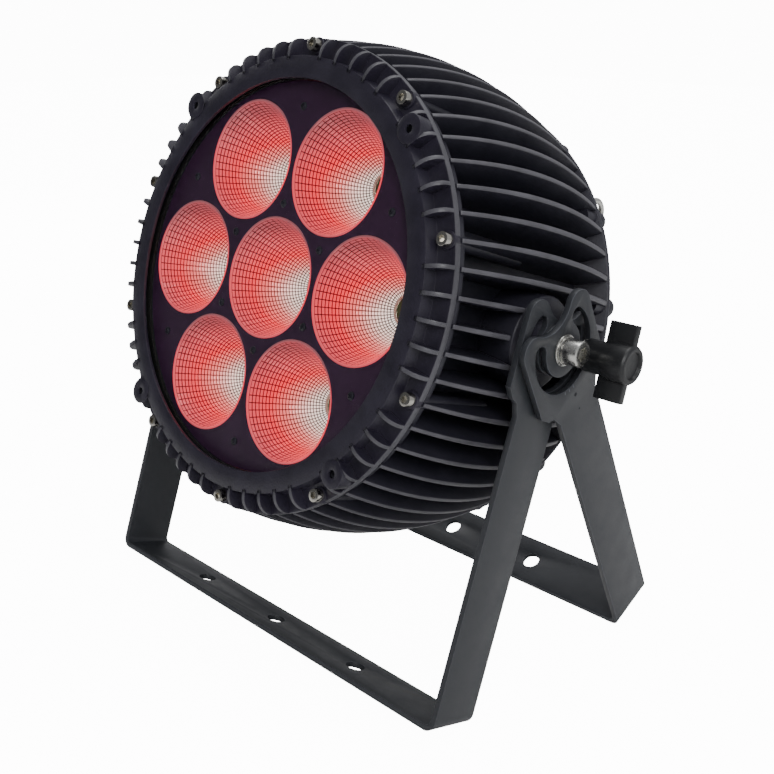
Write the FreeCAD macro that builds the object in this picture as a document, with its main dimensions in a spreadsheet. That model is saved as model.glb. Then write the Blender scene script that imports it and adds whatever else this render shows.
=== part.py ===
"""Par can light: LED wash light with seven reflectors on a folding twin bracket.

Millimetres, +Z up. X is the tilt axis, the beam leaves towards -Y and the two bracket bars
stand on z = 0. The head is drawn in its own frame, with local +Z along the beam, local +Y up
and the origin on the tilt axis, and every piece of it gets the same head placement.
"""
import FreeCAD, Part
import math
import os

import Sketcher
from FreeCAD import Placement, Rotation, Vector

# Driving dimensions in millimetres and degrees, grouped by the piece they shape.
SIZES = {
    # Stand: where the tilt axis is and how the two brackets lean
    "pivot_height": 243.0, "pivot_shift": -1.0, "head_tilt": 18.6,
    "outer_lean": 26.1, "inner_lean": 20.5,
    # Brackets of flat bar
    "bar_width": 40.0, "bar_thickness": 4.0, "bend_radius": 8.0, "bend_inside": 4.0,
    "outer_width": 366.3, "inner_width": 353.4,
    "neck_top": 37.5, "neck_bottom": 46.0, "neck_half": 24.0,
    "cheek_half": 34.4, "cheek_bottom": 29.0, "shoulder_half": 29.0, "shoulder_bottom": 35.5,
    "ear_x": 24.0, "ear_z": 15.5, "ear_round": 10.4, "notch_z": 16.0,
    "slot_radius": 22.8, "slot_width": 11.0, "slot_end": 120.0,
    "clamp_hole": 13.5, "clamp_pitch": 86.0,
    # Housing: a finned drum with a heat spreading web across its middle
    "bore_radius": 136.0, "spigot_inner": 129.0, "spigot_outer": 135.5, "spigot_front": 82.5,
    "spigot_back": 70.0,
    "web_back": 26.0, "web_front": 34.0, "front_flange": 75.5, "rear_flange": -79.0,
    "core_radius": 140.0, "core_end": 66.0, "front_flange_radius": 154.0,
    "rear_flange_radius": 163.0, "rear_flange_thickness": 3.5,
    "fin_root": 138.0, "fin_front_radius": 156.2, "fin_rear_radius": 162.6,
    "fin_crown_radius": 171.3, "fin_crown": -5.0, "fin_thickness": 3.2,
    "fin_step": 6.0,
    "pad_face": 166.0, "pad_radius": 30.0, "pad_pocket": 31.5, "pad_root": 133.5,
    # Bezel, glass and seals
    "bezel_back": 76.5, "bezel_flange_front": 81.0, "bezel_flange_radius": 155.7,
    "bezel_valley_radius": 143.0, "bezel_valley": 82.0, "bezel_side_radius": 154.6,
    "bezel_front_radius": 142.0, "bezel_front": 91.0, "bezel_lip_radius": 128.0,
    "bezel_bore": 136.0, "rib_thickness": 2.6, "rib_crown_radius": 151.5, "rib_crown": 89.2,
    "rib_root_radius": 140.0, "rib_root": 88.0,
    "glass_back": 84.5, "glass_front": 88.5, "glass_radius": 134.0, "seal_inner": 129.5,
    "bezel_seal_inner": 137.0, "bezel_seal_outer": 146.0,
    # Bezel screws, M5 socket cap
    "screw_circle": 150.5, "screw_first": 18.0, "screw_boss": 5.6,
    "screw_seat": 82.5, "screw_thread": 5.0, "screw_head": 8.5, "screw_head_height": 5.0,
    "screw_depth": 62.0, "screw_key": 4.0, "screw_key_depth": 3.0, "thread_boss": 4.4,
    "thread_boss_back": 12.0,
    # Accessory bosses on the bezel
    "accessory_circle": 146.5, "accessory_boss": 9.0, "accessory_front": 91.6,
    "accessory_first": 45.0, "accessory_pin": 2.5, "accessory_pin_front": 90.6,
    # Optics
    "lamp_pitch": 85.1, "reflector_rim": 82.8, "reflector_rim_radius": 39.2,
    "reflector_wall": 1.0, "reflector_base": 38.0, "reflector_base_radius": 10.5,
    "reflector_mid": 60.0, "reflector_mid_radius": 28.5, "mask_radius": 128.5,
    "mask_back": 81.2, "mask_front": 82.7, "mask_hole": 40.5,
    "led_board": 26.0, "led_board_front": 35.5, "led_face": 36.8, "led_face_radius": 9.0,
    "holder_outer": 18.0, "holder_inner": 10.0,
    "pillar_radius": 3.0, "pillar_inner_circle": 49.1, "pillar_outer_circle": 112.0,
    "mask_screw_head": 5.5, "mask_screw_front": 84.0,
    # Electronics behind the web
    "board_length": 170.0, "board_height": 120.0, "board_front": 12.0, "board_back": 10.4,
    "supply_length": 150.0, "supply_height": 96.0, "supply_front": -24.0, "supply_back": -62.0,
    "post_radius": 3.5, "board_post_x": 78.0, "board_post_y": 53.0,
    "supply_post_x": 92.0, "supply_post_y": 30.0, "supply_foot": 2.0,
    "panel_board_length": 90.0, "panel_board_height": 62.0, "panel_board_front": -79.0,
    "panel_board_back": -80.6, "switch_back": -84.9, "switch_half": 3.0,
    # Rear cover and its hardware
    "cover_seat": -80.0, "cover_flange_back": -84.0, "cover_radius": 157.0,
    "pan_outer": 126.0, "pan_inner": 122.0, "pan_floor": -90.0, "pan_back": -93.0,
    "lug_circle": 155.5, "lug_radius": 7.0, "lug_back": -86.0, "lug_first": 11.5,
    "rear_boss_front": -64.0, "rear_screw_head": 9.0,
    "rear_screw_back": -88.8, "rear_screw_tip": -70.0, "rear_seal_inner": 136.0,
    "rear_seal_outer": 147.0,
    # Control panel on the rear cover
    "window_length": 64.0, "window_height": 28.0, "window_y": 52.0, "window_back": -94.5,
    "window_lip": 4.0, "button_y": 18.0, "button_step": 20.0, "button_radius": 4.9,
    "button_hole": 5.0, "button_back": -95.4, "button_inner": -85.9,
    "button_collar_radius": 6.4, "button_collar_back": -89.9, "button_collar_front": -87.9,
    "socket_x": 42.0, "power_y": -26.0, "data_y": -72.0, "socket_flange": 15.5,
    "socket_back": -96.0, "socket_radius": 12.0, "socket_bore": 9.5, "socket_floor": -80.0,
    "socket_front": -70.0, "contact_circle": 5.0, "contact_radius": 1.2,
    "contact_back": -87.0, "contact_depth": -74.0,
    "vent_y": -100.0, "vent_head": 8.0, "vent_back": -98.0, "vent_stem": 6.0,
    "vent_front": -86.0,
    # Safety eye on the rear flange
    "eye_angle": 38.5, "eye_circle": 151.0, "eye_ring": 9.0, "eye_wire": 2.0,
    "eye_centre": -96.0, "eye_collar": 5.0, "eye_collar_back": -86.5,
    # Tilt pivots, measured outwards along the tilt axis
    "pivot_bolt": 10.0, "pivot_hole": 10.1, "pivot_tip": 141.0, "bolt_head": 16.0,
    "bolt_seat": 187.0, "bolt_end": 197.0, "bolt_key": 8.0, "bolt_key_depth": 5.0,
    "spacer_radius": 15.5, "spacer_end": 172.65, "plate_washer_radius": 15.0,
    "plate_washer_start": 176.7, "plate_washer_end": 179.1, "flat_washer_radius": 10.0,
    "flat_washer_start": 183.2, "flat_washer_end": 184.8, "spring_washer_radius": 8.6,
    # Clamp knobs, beside the pivots
    "stud_back": 22.8, "stud": 8.0, "stud_hole": 8.1, "stud_tip": 142.0, "stud_end": 206.0,
    "knob_washer_radius": 9.5, "knob_start": 185.0, "knob_hub": 10.5, "wing_start": 198.4,
    "knob_end": 217.4, "wing_length": 48.6, "wing_thickness": 7.6, "knob_cap": 12.5,
    "cap_start": 206.0, "cap_end": 219.4, "knob_lean": 17.1,
}

SIDES = {"right": 1, "left": -1}
LAMPS_AROUND = 6
FINS_BETWEEN_SCREWS = 5
BUTTONS = ("menu", "down", "up", "enter")
CONTACTS = 3


class Size:
    """A number from the sheet that remembers the formula it came from."""

    def __init__(self, value, formula=None):
        self.value = float(value)
        self.formula = formula or repr(self.value)

    def _joined(self, other, sign, value):
        return Size(value, f"({self.formula} {sign} {other.formula})")

    def __add__(self, other):
        other = as_size(other)
        return self._joined(other, "+", self.value + other.value)

    def __sub__(self, other):
        other = as_size(other)
        return self._joined(other, "-", self.value - other.value)

    def __mul__(self, other):
        other = as_size(other)
        return self._joined(other, "*", self.value * other.value)

    def __truediv__(self, other):
        other = as_size(other)
        return self._joined(other, "/", self.value / other.value)

    def __neg__(self):
        return Size(-self.value, f"(0 - {self.formula})")


def as_size(number):
    return number if isinstance(number, Size) else Size(number)


def cosine(angle):
    return Size(math.cos(math.radians(angle.value)), f"cos({angle.formula})")


def sine(angle):
    return Size(math.sin(math.radians(angle.value)), f"sin({angle.formula})")


doc = FreeCAD.newDocument("ParCanLight")
sheet = doc.addObject("Spreadsheet::Sheet", "Sizes")
nodes = {}


def size(alias):
    return Size(SIZES[alias], f"Sizes.{alias}")


def fill_sheet():
    for row, (alias, value) in enumerate(SIZES.items(), start=1):
        sheet.set(f"A{row}", alias)
        sheet.set(f"B{row}", str(value))
        sheet.setAlias(f"B{row}", alias)
    doc.recompute()


def bind(item, **properties):
    """Ties properties to formulas; two underscores stand for the dot in a property path."""
    for name, amount in properties.items():
        item.setExpression(name.replace("__", "."), as_size(amount).formula)


def keep(item, label, placement):
    """Names a finished sub-part and puts it in its place on the lamp."""
    item.Label = label
    item.Placement = placement
    nodes[label] = item
    return item


# Placements shared by the pieces of one assembly

def pivot_placement(turn):
    centre = Vector(0, SIZES["pivot_shift"], SIZES["pivot_height"])
    return Placement(centre, Rotation(Vector(1, 0, 0), turn))


HEAD = pivot_placement(90 - SIZES["head_tilt"])


def side_placement(side, back=0.0, lean=0.0):
    """Turns a piece drawn along +Z so that it points out of one side of the head."""
    turn = Rotation(Vector(0, 1, 0), 90 * side).multiply(Rotation(Vector(0, 0, 1), lean))
    return HEAD.multiply(Placement(Vector(0, 0, -back), turn))


# Sketches and features

def new_body(name):
    body = doc.addObject("PartDesign::Body", f"{name}_body")
    body.AllowCompound = True
    return body


def origin_item(body, role):
    return next(item for item in body.Origin.OriginFeatures if item.Role == role)


def new_sketch(body, role, height=None, turn=0.0):
    """A sketch on one of the body's planes, lifted along its normal and turned about its V axis."""
    sketch = body.newObject("Sketcher::SketchObject", f"{body.Name}_sketch")
    sketch.AttachmentSupport = (origin_item(body, role), [""])
    sketch.MapMode = "FlatFace"
    sketch.AttachmentOffset = Placement(Vector(0, 0, 0), Rotation(Vector(0, 1, 0), turn))
    if height is not None:
        sketch.AttachmentOffset = Placement(Vector(0, 0, height.value), Rotation())
        bind(sketch, AttachmentOffset__Base__z=height)
    return sketch


def fix(sketch, kind, axis, geometry, end, amount):
    """Holds one end of a line or arc at a distance from the sketch's origin."""
    if abs(amount.value) < 1e-9:
        sketch.addConstraint(Sketcher.Constraint("PointOnObject", geometry, end, axis))
        return
    index = sketch.addConstraint(Sketcher.Constraint(kind, -1, 1, geometry, end, amount.value))
    sketch.setExpression(f"Constraints[{index}]", amount.formula)


def draw_outline(sketch, points, arcs=None):
    """A closed chain through the points; arcs maps a start index to a point on that arc."""
    arcs = arcs or {}
    corners = [Vector(x.value, y.value, 0) for x, y in points]
    ends = []
    for index, start in enumerate(corners):
        stop = corners[(index + 1) % len(corners)]
        if index in arcs:
            middle = Vector(arcs[index][0].value, arcs[index][1].value, 0)
            geometry = sketch.addGeometry(Part.Arc(start, middle, stop), False)
        else:
            geometry = sketch.addGeometry(Part.LineSegment(start, stop), False)
        forward = (sketch.getPoint(geometry, 1) - start).Length < 1e-6
        ends.append((geometry, (1, 2) if forward else (2, 1)))
    for index, (geometry, order) in enumerate(ends):
        following, following_order = ends[(index + 1) % len(ends)]
        joint = Sketcher.Constraint("Coincident", geometry, order[1], following, following_order[0])
        sketch.addConstraint(joint)
        fix(sketch, "DistanceX", -2, geometry, order[0], points[index][0])
        fix(sketch, "DistanceY", -1, geometry, order[0], points[index][1])


def draw_circle(sketch, radius, x=Size(0), y=Size(0)):
    circle = Part.Circle(Vector(x.value, y.value, 0), Vector(0, 0, 1), radius.value)
    geometry = sketch.addGeometry(circle, False)
    index = sketch.addConstraint(Sketcher.Constraint("Radius", geometry, radius.value))
    sketch.setExpression(f"Constraints[{index}]", radius.formula)
    fix(sketch, "DistanceX", -2, geometry, 3, x)
    fix(sketch, "DistanceY", -1, geometry, 3, y)


def draw_rectangle(sketch, half_x, half_y, x=Size(0), y=Size(0)):
    draw_outline(sketch, [(x - half_x, y - half_y), (x + half_x, y - half_y),
                          (x + half_x, y + half_y), (x - half_x, y + half_y)])


def feature(body, kind, sketch, **settings):
    """A PartDesign feature from a sketch; settings that are sizes are bound to the sheet."""
    made = body.newObject(f"PartDesign::{kind}", f"{body.Name}_{kind.lower()}")
    made.Profile = (sketch, [""])
    for name, setting in settings.items():
        if isinstance(setting, Size):
            setattr(made, name, setting.value)
            bind(made, **{name: setting})
        else:
            setattr(made, name, setting)
    return made


def revolve(body, points, arcs=None):
    sketch = new_sketch(body, "XZ_Plane")
    draw_outline(sketch, points, arcs)
    return feature(body, "Revolution", sketch, ReferenceAxis=(sketch, ["V_Axis"]), Angle=360)


def pattern(body, originals, count):
    """Repeats features round the body's Z axis and makes the result the body's tip."""
    polar = body.newObject("PartDesign::PolarPattern", f"{body.Name}_pattern")
    polar.Originals = originals
    polar.Axis = (origin_item(body, "Z_Axis"), [""])
    polar.Angle = 360
    polar.Occurrences = count
    body.Tip = polar
    return polar


def turned(label, points, placement, arcs=None):
    """A piece made by one full turn of a (radius, height) outline about its own Z axis."""
    body = new_body(label)
    revolve(body, points, arcs)
    return keep(body, label, placement)


def ring_points(inner, outer, low, high):
    return [(inner, low), (outer, low), (outer, high), (inner, high)]


def screw_points(thread, head, tip, seat, top):
    return [(Size(0), tip), (thread / 2, tip), (thread / 2, seat), (head / 2, seat),
            (head / 2, top), (Size(0), top)]


def cut_hexagon(body, across_flats, top, depth):
    """A hexagon socket sunk into the top of a screw head."""
    sketch = new_sketch(body, "XY_Plane", top)
    reach = across_flats / (2 * math.cos(math.radians(30)))
    corners = [(reach * math.cos(math.radians(60 * k)), reach * math.sin(math.radians(60 * k)))
               for k in range(6)]
    draw_outline(sketch, corners)
    return feature(body, "Pocket", sketch, Length=depth)


def on_circle(radius, angle):
    turn = math.radians(angle)
    return radius * math.cos(turn), radius * math.sin(turn)


def copies(label, master, places):
    """Identical loose pieces that share one node: the master's shape at each placement."""
    group = doc.addObject("Part::Feature", f"{label}_group")
    solids = []
    for place in places:
        solid = master.Shape.copy()
        solid.Placement = place.multiply(solid.Placement)
        solids.append(solid)
    group.Shape = Part.makeCompound(solids)
    return keep(group, label, group.Placement)


def around(count, first=0.0):
    step = 360.0 / count
    return [HEAD.multiply(Placement(Vector(), Rotation(Vector(0, 0, 1), first + step * k)))
            for k in range(count)]


# Brackets

def bracket(label, width, lean, turn):
    """A U of flat bar whose cheeks have a pivot hole and an arc slot for the clamp stud."""
    body = new_body(label)
    half = size("bar_width") / 2
    length = (size("pivot_height") - half * sine(lean)) / cosine(lean)
    ear_x, ear_z, ear = size("ear_x"), size("ear_z"), size("ear_round")
    diagonal = ear * math.sqrt(0.5)
    right = [
        (half, -length), (half, -size("neck_bottom")),
        (size("neck_half"), -size("neck_top")),
        (size("shoulder_half"), -size("shoulder_bottom")),
        (size("cheek_half"), -size("cheek_bottom")), (ear_x + ear, ear_z),
        (ear_x - diagonal, ear_z + diagonal),
    ]
    left = [(-y, z) for y, z in reversed(right)]
    last = len(right) - 1
    sketch = new_sketch(body, "YZ_Plane")
    draw_outline(sketch, right + left, {
        last - 1: (ear_x, ear_z + ear),
        last: (Size(0), size("notch_z")),
        last + 1: (-ear_x, ear_z + ear),
    })
    feature(body, "Pad", sketch, Length=width, SideType="Symmetric")

    gap = width / 2 - size("bar_thickness")
    floor = -length + size("bar_thickness")
    bend = size("bend_inside")
    near = bend * (1 - math.sqrt(0.5))
    above = size("ear_z") + size("ear_round") * 2
    sketch = new_sketch(body, "XZ_Plane")
    draw_outline(sketch, [(-gap + bend, floor), (gap - bend, floor), (gap, floor + bend),
                          (gap, above), (-gap, above), (-gap, floor + bend)],
                 {1: (gap - near, floor + near), 5: (-gap + near, floor + near)})
    feature(body, "Pocket", sketch, Type="ThroughAll", SideType="Symmetric")
    doc.recompute()

    corners = [f"Edge{index}" for index, edge in enumerate(body.Shape.Edges, start=1)
               if abs(abs(edge.CenterOfMass.x) - width.value / 2) < 0.01
               and abs(edge.CenterOfMass.z + length.value) < 0.01
               and abs(edge.CenterOfMass.y) < 0.01]
    pocket = body.Tip
    bends = body.newObject("PartDesign::Fillet", f"{label}_bends")
    bends.Base = (pocket, corners)
    bends.Radius = SIZES["bend_radius"]
    bind(bends, Radius=size("bend_radius"))
    body.Tip = bends

    sketch = new_sketch(body, "YZ_Plane")
    draw_circle(sketch, size("pivot_hole") / 2)
    feature(body, "Pocket", sketch, Type="ThroughAll", SideType="Symmetric")
    cut_arc_slot(body)
    sketch = new_sketch(body, "XY_Plane")
    for place in (-1, 0, 1):
        draw_circle(sketch, size("clamp_hole") / 2, size("clamp_pitch") * place)
    feature(body, "Pocket", sketch, Type="ThroughAll", SideType="Symmetric")
    return keep(body, label, pivot_placement(turn))


def cut_arc_slot(body):
    """The slot runs evenly to both sides of the leg, round the pivot, with full round ends."""
    radius, half = size("slot_radius"), size("slot_width") / 2
    end = size("slot_end")
    outer, inner = radius + half, radius - half
    across, up = sine(end), -cosine(end)
    tip = (radius * across - half * up, radius * up + half * across)
    sketch = new_sketch(body, "YZ_Plane")
    draw_outline(sketch, [(outer * across, outer * up), (-outer * across, outer * up),
                          (-inner * across, inner * up), (inner * across, inner * up)],
                 {0: (Size(0), -outer), 1: (-tip[0], tip[1]),
                  2: (Size(0), -inner), 3: tip})
    feature(body, "Pocket", sketch, Type="ThroughAll", SideType="Symmetric")


# Head: housing

def housing():
    body = new_body("housing")
    core, bore = size("core_radius"), size("bore_radius")
    flange, rear = size("front_flange"), size("rear_flange")
    rear_flange_front = rear + size("rear_flange_thickness")
    revolve(body, [
        (Size(0), size("web_back")), (bore, size("web_back")), (bore, rear),
        (size("rear_flange_radius"), rear), (size("rear_flange_radius"), rear_flange_front),
        (core, rear_flange_front + 6), (core, size("core_end")),
        (size("front_flange_radius"), flange - 5), (size("front_flange_radius"), flange),
        (size("spigot_outer"), flange), (size("spigot_outer"), size("spigot_front")),
        (size("spigot_inner"), size("spigot_front")), (size("spigot_inner"), size("spigot_back")),
        (bore, size("spigot_back")), (bore, size("web_front")), (Size(0), size("web_front")),
    ])
    fins = [fin(body, SIZES["screw_first"] + SIZES["fin_step"] * k)
            for k in range(FINS_BETWEEN_SCREWS + 1)]
    boss_x, boss_y = on_circle(size("screw_circle"), SIZES["screw_first"])
    boss = new_sketch(body, "XY_Plane", flange)
    draw_circle(boss, size("thread_boss"), boss_x, boss_y)
    boss = feature(body, "Pad", boss, Length=flange - size("thread_boss_back"), Reversed=True)
    pattern(body, fins + [boss], 10)
    add_rear_bosses(body)
    add_side_pads(body)
    cut_threads(body, boss_x, boss_y)
    return keep(body, "housing", HEAD)


def fin(body, angle):
    """One cooling fin, a plate in a plane through the beam axis with a bowed outer edge."""
    front = size("front_flange")
    rear = size("rear_flange") + size("rear_flange_thickness")
    root = size("fin_root")
    sketch = new_sketch(body, "XZ_Plane", turn=angle)
    draw_outline(sketch, [(root, front), (size("fin_front_radius"), front),
                          (size("fin_rear_radius"), rear), (root, rear)],
                 {1: (size("fin_crown_radius"), size("fin_crown"))})
    return feature(body, "Pad", sketch, Length=size("fin_thickness"), SideType="Symmetric")


def add_rear_bosses(body):
    x, y = on_circle(size("lug_circle"), SIZES["lug_first"])
    sketch = new_sketch(body, "XY_Plane", size("rear_flange"))
    draw_circle(sketch, size("thread_boss"), x, y)
    boss = feature(body, "Pad", sketch, Length=size("rear_boss_front") - size("rear_flange"))
    pattern(body, [boss], 16)
    sketch = new_sketch(body, "XY_Plane", size("rear_flange"))
    draw_circle(sketch, size("screw_thread") / 2, x, y)
    hole = feature(body, "Pocket", sketch, Length=size("rear_screw_tip") - size("rear_flange"),
                   Reversed=True)
    pattern(body, [hole], 16)


def add_side_pads(body):
    """Round flats for the pivots: fins cut back, a pad, and blind holes for bolt and stud."""
    for side in (1, -1):
        face = size("pad_face") * side
        sketch = new_sketch(body, "YZ_Plane", face)
        draw_circle(sketch, size("pad_pocket"))
        feature(body, "Pocket", sketch, Type="ThroughAll", Reversed=side > 0)
        sketch = new_sketch(body, "YZ_Plane", face)
        draw_circle(sketch, size("pad_radius"))
        feature(body, "Pad", sketch, Length=size("pad_face") - size("pad_root"),
                Reversed=side > 0)
        for hole, tip, back in (("pivot_bolt", "pivot_tip", Size(0)),
                                ("stud_hole", "pivot_tip", -size("stud_back"))):
            sketch = new_sketch(body, "YZ_Plane", face)
            draw_circle(sketch, size(hole) / 2, Size(0), back)
            feature(body, "Pocket", sketch, Length=size("pad_face") - size(tip),
                    Reversed=side < 0)


def cut_threads(body, x, y):
    sketch = new_sketch(body, "XY_Plane", size("front_flange"))
    draw_circle(sketch, size("screw_thread") / 2, x, y)
    hole = feature(body, "Pocket", sketch, Length=size("front_flange") - size("screw_depth"))
    pattern(body, [hole], 10)


# Head: front

def front_bezel():
    body = new_body("front_bezel")
    back, front = size("bezel_back"), size("bezel_front")
    flange = size("bezel_flange_radius")
    revolve(body, [
        (size("bezel_lip_radius"), front), (size("bezel_front_radius"), front),
        (size("bezel_valley_radius"), size("bezel_valley")),
        (size("bezel_side_radius"), size("bezel_flange_front")),
        (flange, size("bezel_flange_front")), (flange, back), (size("bezel_bore"), back),
        (size("bezel_bore"), size("glass_front")), (size("bezel_lip_radius"), size("glass_front")),
    ])
    ribs = [bezel_rib(body, SIZES["screw_first"] + SIZES["fin_step"] * k)
            for k in range(1, FINS_BETWEEN_SCREWS + 1)]
    x, y = on_circle(size("screw_circle"), SIZES["screw_first"])
    sketch = new_sketch(body, "XY_Plane", size("screw_seat"))
    draw_circle(sketch, size("screw_boss"), x, y)
    boss = feature(body, "Pad", sketch, Length=size("screw_seat") - size("bezel_back"),
                   Reversed=True)
    pattern(body, ribs + [boss], 10)
    add_accessory_bosses(body)
    seat = new_sketch(body, "XY_Plane", size("screw_seat"))
    draw_circle(seat, size("screw_boss"), x, y)
    clearing = feature(body, "Pocket", seat, Type="ThroughAll", Reversed=True)
    pattern(body, [clearing], 10)
    hole = new_sketch(body, "XY_Plane", size("screw_seat"))
    draw_circle(hole, size("screw_thread") / 2, x, y)
    hole = feature(body, "Pocket", hole, Type="ThroughAll")
    pattern(body, [hole], 10)
    return keep(body, "front_bezel", HEAD)


def bezel_rib(body, angle):
    """A thin bowed rib that bridges the bezel's valley, in line with a housing fin."""
    sketch = new_sketch(body, "XZ_Plane", turn=angle)
    draw_outline(sketch, [
        (size("rib_root_radius"), size("rib_root")), (size("bezel_front_radius"), size("bezel_front")),
        (size("bezel_flange_radius"), size("bezel_flange_front")),
        (size("rib_root_radius"), size("bezel_flange_front")),
    ], {1: (size("rib_crown_radius"), size("rib_crown"))})
    return feature(body, "Pad", sketch, Length=size("rib_thickness"), SideType="Symmetric")


def add_accessory_bosses(body):
    x, y = on_circle(size("accessory_circle"), SIZES["accessory_first"])
    sketch = new_sketch(body, "XY_Plane", size("accessory_front"))
    draw_circle(sketch, size("accessory_boss"), x, y)
    boss = feature(body, "Pad", sketch, Length=size("accessory_front") - size("bezel_back"),
                   Reversed=True)
    pattern(body, [boss], 4)
    sketch = new_sketch(body, "XY_Plane", size("accessory_front"))
    draw_circle(sketch, size("accessory_pin"), x, y)
    hole = feature(body, "Pocket", sketch, Length=size("accessory_front") - size("bezel_flange_front"))
    pattern(body, [hole], 4)


def loose_screw(label, thread, head, tip, seat, top, key, key_depth):
    """A socket cap screw on its own Z axis, kept out of the node list until it is copied."""
    body = new_body(label)
    revolve(body, screw_points(thread, head, tip, seat, top))
    cut_hexagon(body, key, top, key_depth)
    doc.recompute()
    return body


def front_fasteners():
    screw = loose_screw("bezel_screw", size("screw_thread"), size("screw_head"),
                        size("screw_depth"), size("screw_seat"),
                        size("screw_seat") + size("screw_head_height"), size("screw_key"),
                        size("screw_key_depth"))
    out = Placement(Vector(SIZES["screw_circle"], 0, 0), Rotation())
    copies("bezel_screws", screw, [turn.multiply(out) for turn in around(10, SIZES["screw_first"])])

    pin = new_body("accessory_pin")
    revolve(pin, ring_points(Size(0), size("accessory_pin"), size("bezel_flange_front"),
                             size("accessory_pin_front")))
    doc.recompute()
    out = Placement(Vector(SIZES["accessory_circle"], 0, 0), Rotation())
    copies("accessory_pins", pin, [turn.multiply(out) for turn in around(4, SIZES["accessory_first"])])


def seals_and_glass():
    turned("front_glass", ring_points(Size(0), size("glass_radius"), size("glass_back"),
                                      size("glass_front")), HEAD)
    turned("glass_seal", ring_points(size("seal_inner"), size("glass_radius"),
                                     size("spigot_front"), size("glass_back")), HEAD)
    turned("bezel_seal", ring_points(size("bezel_seal_inner"), size("bezel_seal_outer"),
                                     size("front_flange"), size("bezel_back")), HEAD)
    turned("rear_seal", ring_points(size("rear_seal_inner"), size("rear_seal_outer"),
                                    size("cover_seat"), size("rear_flange")), HEAD)


# Head: optics

def lamp_places():
    """Centre of each lamp: one in the middle and six round it."""
    places = {"centre": Placement()}
    for index in range(LAMPS_AROUND):
        x, y = on_circle(SIZES["lamp_pitch"], 60 * index)
        places[str(index + 1)] = Placement(Vector(x, y, 0), Rotation())
    return places


def reflector(label, placement):
    wall = size("reflector_wall")
    rim, base = size("reflector_rim_radius"), size("reflector_base_radius")
    mid = size("reflector_mid_radius")
    return turned(label, [
        (base, size("reflector_base")), (base + wall, size("reflector_base")),
        (rim + wall, size("reflector_rim")), (rim, size("reflector_rim")),
    ], placement, {1: (mid + wall, size("reflector_mid") - wall / 2),
                   3: (mid, size("reflector_mid"))})


def led_module(label, placement):
    """A chip-on-board lamp: a square board with a round light-emitting face."""
    body = new_body(label)
    sketch = new_sketch(body, "XY_Plane", size("web_front"))
    draw_rectangle(sketch, size("led_board") / 2, size("led_board") / 2)
    feature(body, "Pad", sketch, Length=size("led_board_front") - size("web_front"))
    sketch = new_sketch(body, "XY_Plane", size("led_board_front"))
    draw_circle(sketch, size("led_face_radius"))
    feature(body, "Pad", sketch, Length=size("led_face") - size("led_board_front"))
    return keep(body, label, placement)


def optics():
    places = lamp_places()
    for name, place in places.items():
        reflector(f"reflector_{name}", HEAD.multiply(place))
        led_module(f"led_module_{name}", HEAD.multiply(place))
    holder = new_body("led_holder")
    revolve(holder, ring_points(size("holder_inner"), size("holder_outer"),
                                size("led_board_front"), size("reflector_base")))
    doc.recompute()
    copies("led_holders", holder, [HEAD.multiply(place) for place in places.values()])

    mask = new_body("mask_plate")
    sketch = new_sketch(mask, "XY_Plane", size("mask_back"))
    draw_circle(sketch, size("mask_radius"))
    for place in places.values():
        draw_circle(sketch, size("mask_hole"), Size(place.Base.x), Size(place.Base.y))
    feature(mask, "Pad", sketch, Length=size("mask_front") - size("mask_back"))
    keep(mask, "mask_plate", HEAD)
    mask_hardware()


def mask_hardware():
    pillar = new_body("mask_pillar")
    revolve(pillar, ring_points(Size(0), size("pillar_radius"), size("web_front"),
                                size("mask_back")))
    screw = new_body("mask_screw")
    revolve(screw, ring_points(Size(0), size("mask_screw_head") / 2, size("mask_front"),
                               size("mask_screw_front")))
    doc.recompute()
    spots = []
    for circle in ("pillar_inner_circle", "pillar_outer_circle"):
        out = Placement(Vector(SIZES[circle], 0, 0), Rotation())
        spots += [turn.multiply(out) for turn in around(6, 30)]
    copies("mask_pillars", pillar, spots)
    copies("mask_screws", screw, spots)


# Head: electronics

def plate(label, half_x, half_y, low, high):
    body = new_body(label)
    sketch = new_sketch(body, "XY_Plane", low)
    draw_rectangle(sketch, half_x, half_y)
    feature(body, "Pad", sketch, Length=high - low)
    return body


def electronics():
    board = plate("driver_board", size("board_length") / 2, size("board_height") / 2,
                  size("board_back"), size("board_front"))
    keep(board, "driver_board", HEAD)
    supply = plate("power_supply", size("supply_length") / 2, size("supply_height") / 2,
                   size("supply_back"), size("supply_front"))
    sketch = new_sketch(supply, "XY_Plane", size("supply_front"))
    draw_rectangle(sketch, size("supply_post_x") + size("post_radius") * 2, size("supply_height") / 2)
    feature(supply, "Pad", sketch, Length=size("supply_foot"), Reversed=True)
    keep(supply, "power_supply", HEAD)
    posts("driver_board_posts", size("board_post_x"), size("board_post_y"), size("board_front"))
    posts("power_supply_posts", size("supply_post_x"), size("supply_post_y"), size("supply_front"))
    panel_board()


def posts(label, x, y, low):
    """Four spacers from the web down to a board's corners."""
    post = new_body(f"{label}_master")
    revolve(post, ring_points(Size(0), size("post_radius"), low, size("web_back")))
    doc.recompute()
    corners = [Placement(Vector(x.value * i, y.value * j, 0), Rotation())
               for i in (-1, 1) for j in (-1, 1)]
    return copies(label, post, [HEAD.multiply(corner) for corner in corners])


def button_x(index):
    """Buttons stand in a row, centred on the panel."""
    return size("button_step") * (index - (len(BUTTONS) - 1) / 2)


def panel_board():
    """The display's circuit board, with one small switch behind each button."""
    body = plate("panel_board", size("panel_board_length") / 2, size("panel_board_height") / 2,
                 size("panel_board_back"), size("panel_board_front"))
    sketch = new_sketch(body, "XY_Plane", size("panel_board_back"))
    for index in range(len(BUTTONS)):
        draw_rectangle(sketch, size("switch_half"), size("switch_half"), button_x(index),
                       size("button_y") - size("window_y") / 2 - 9)
    feature(body, "Pad", sketch, Length=size("panel_board_back") - size("switch_back"),
            Reversed=True)
    shift = Placement(Vector(0, SIZES["window_y"] / 2 + 9, 0), Rotation())
    return keep(body, "panel_board", HEAD.multiply(shift))


# Head: rear cover

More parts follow.
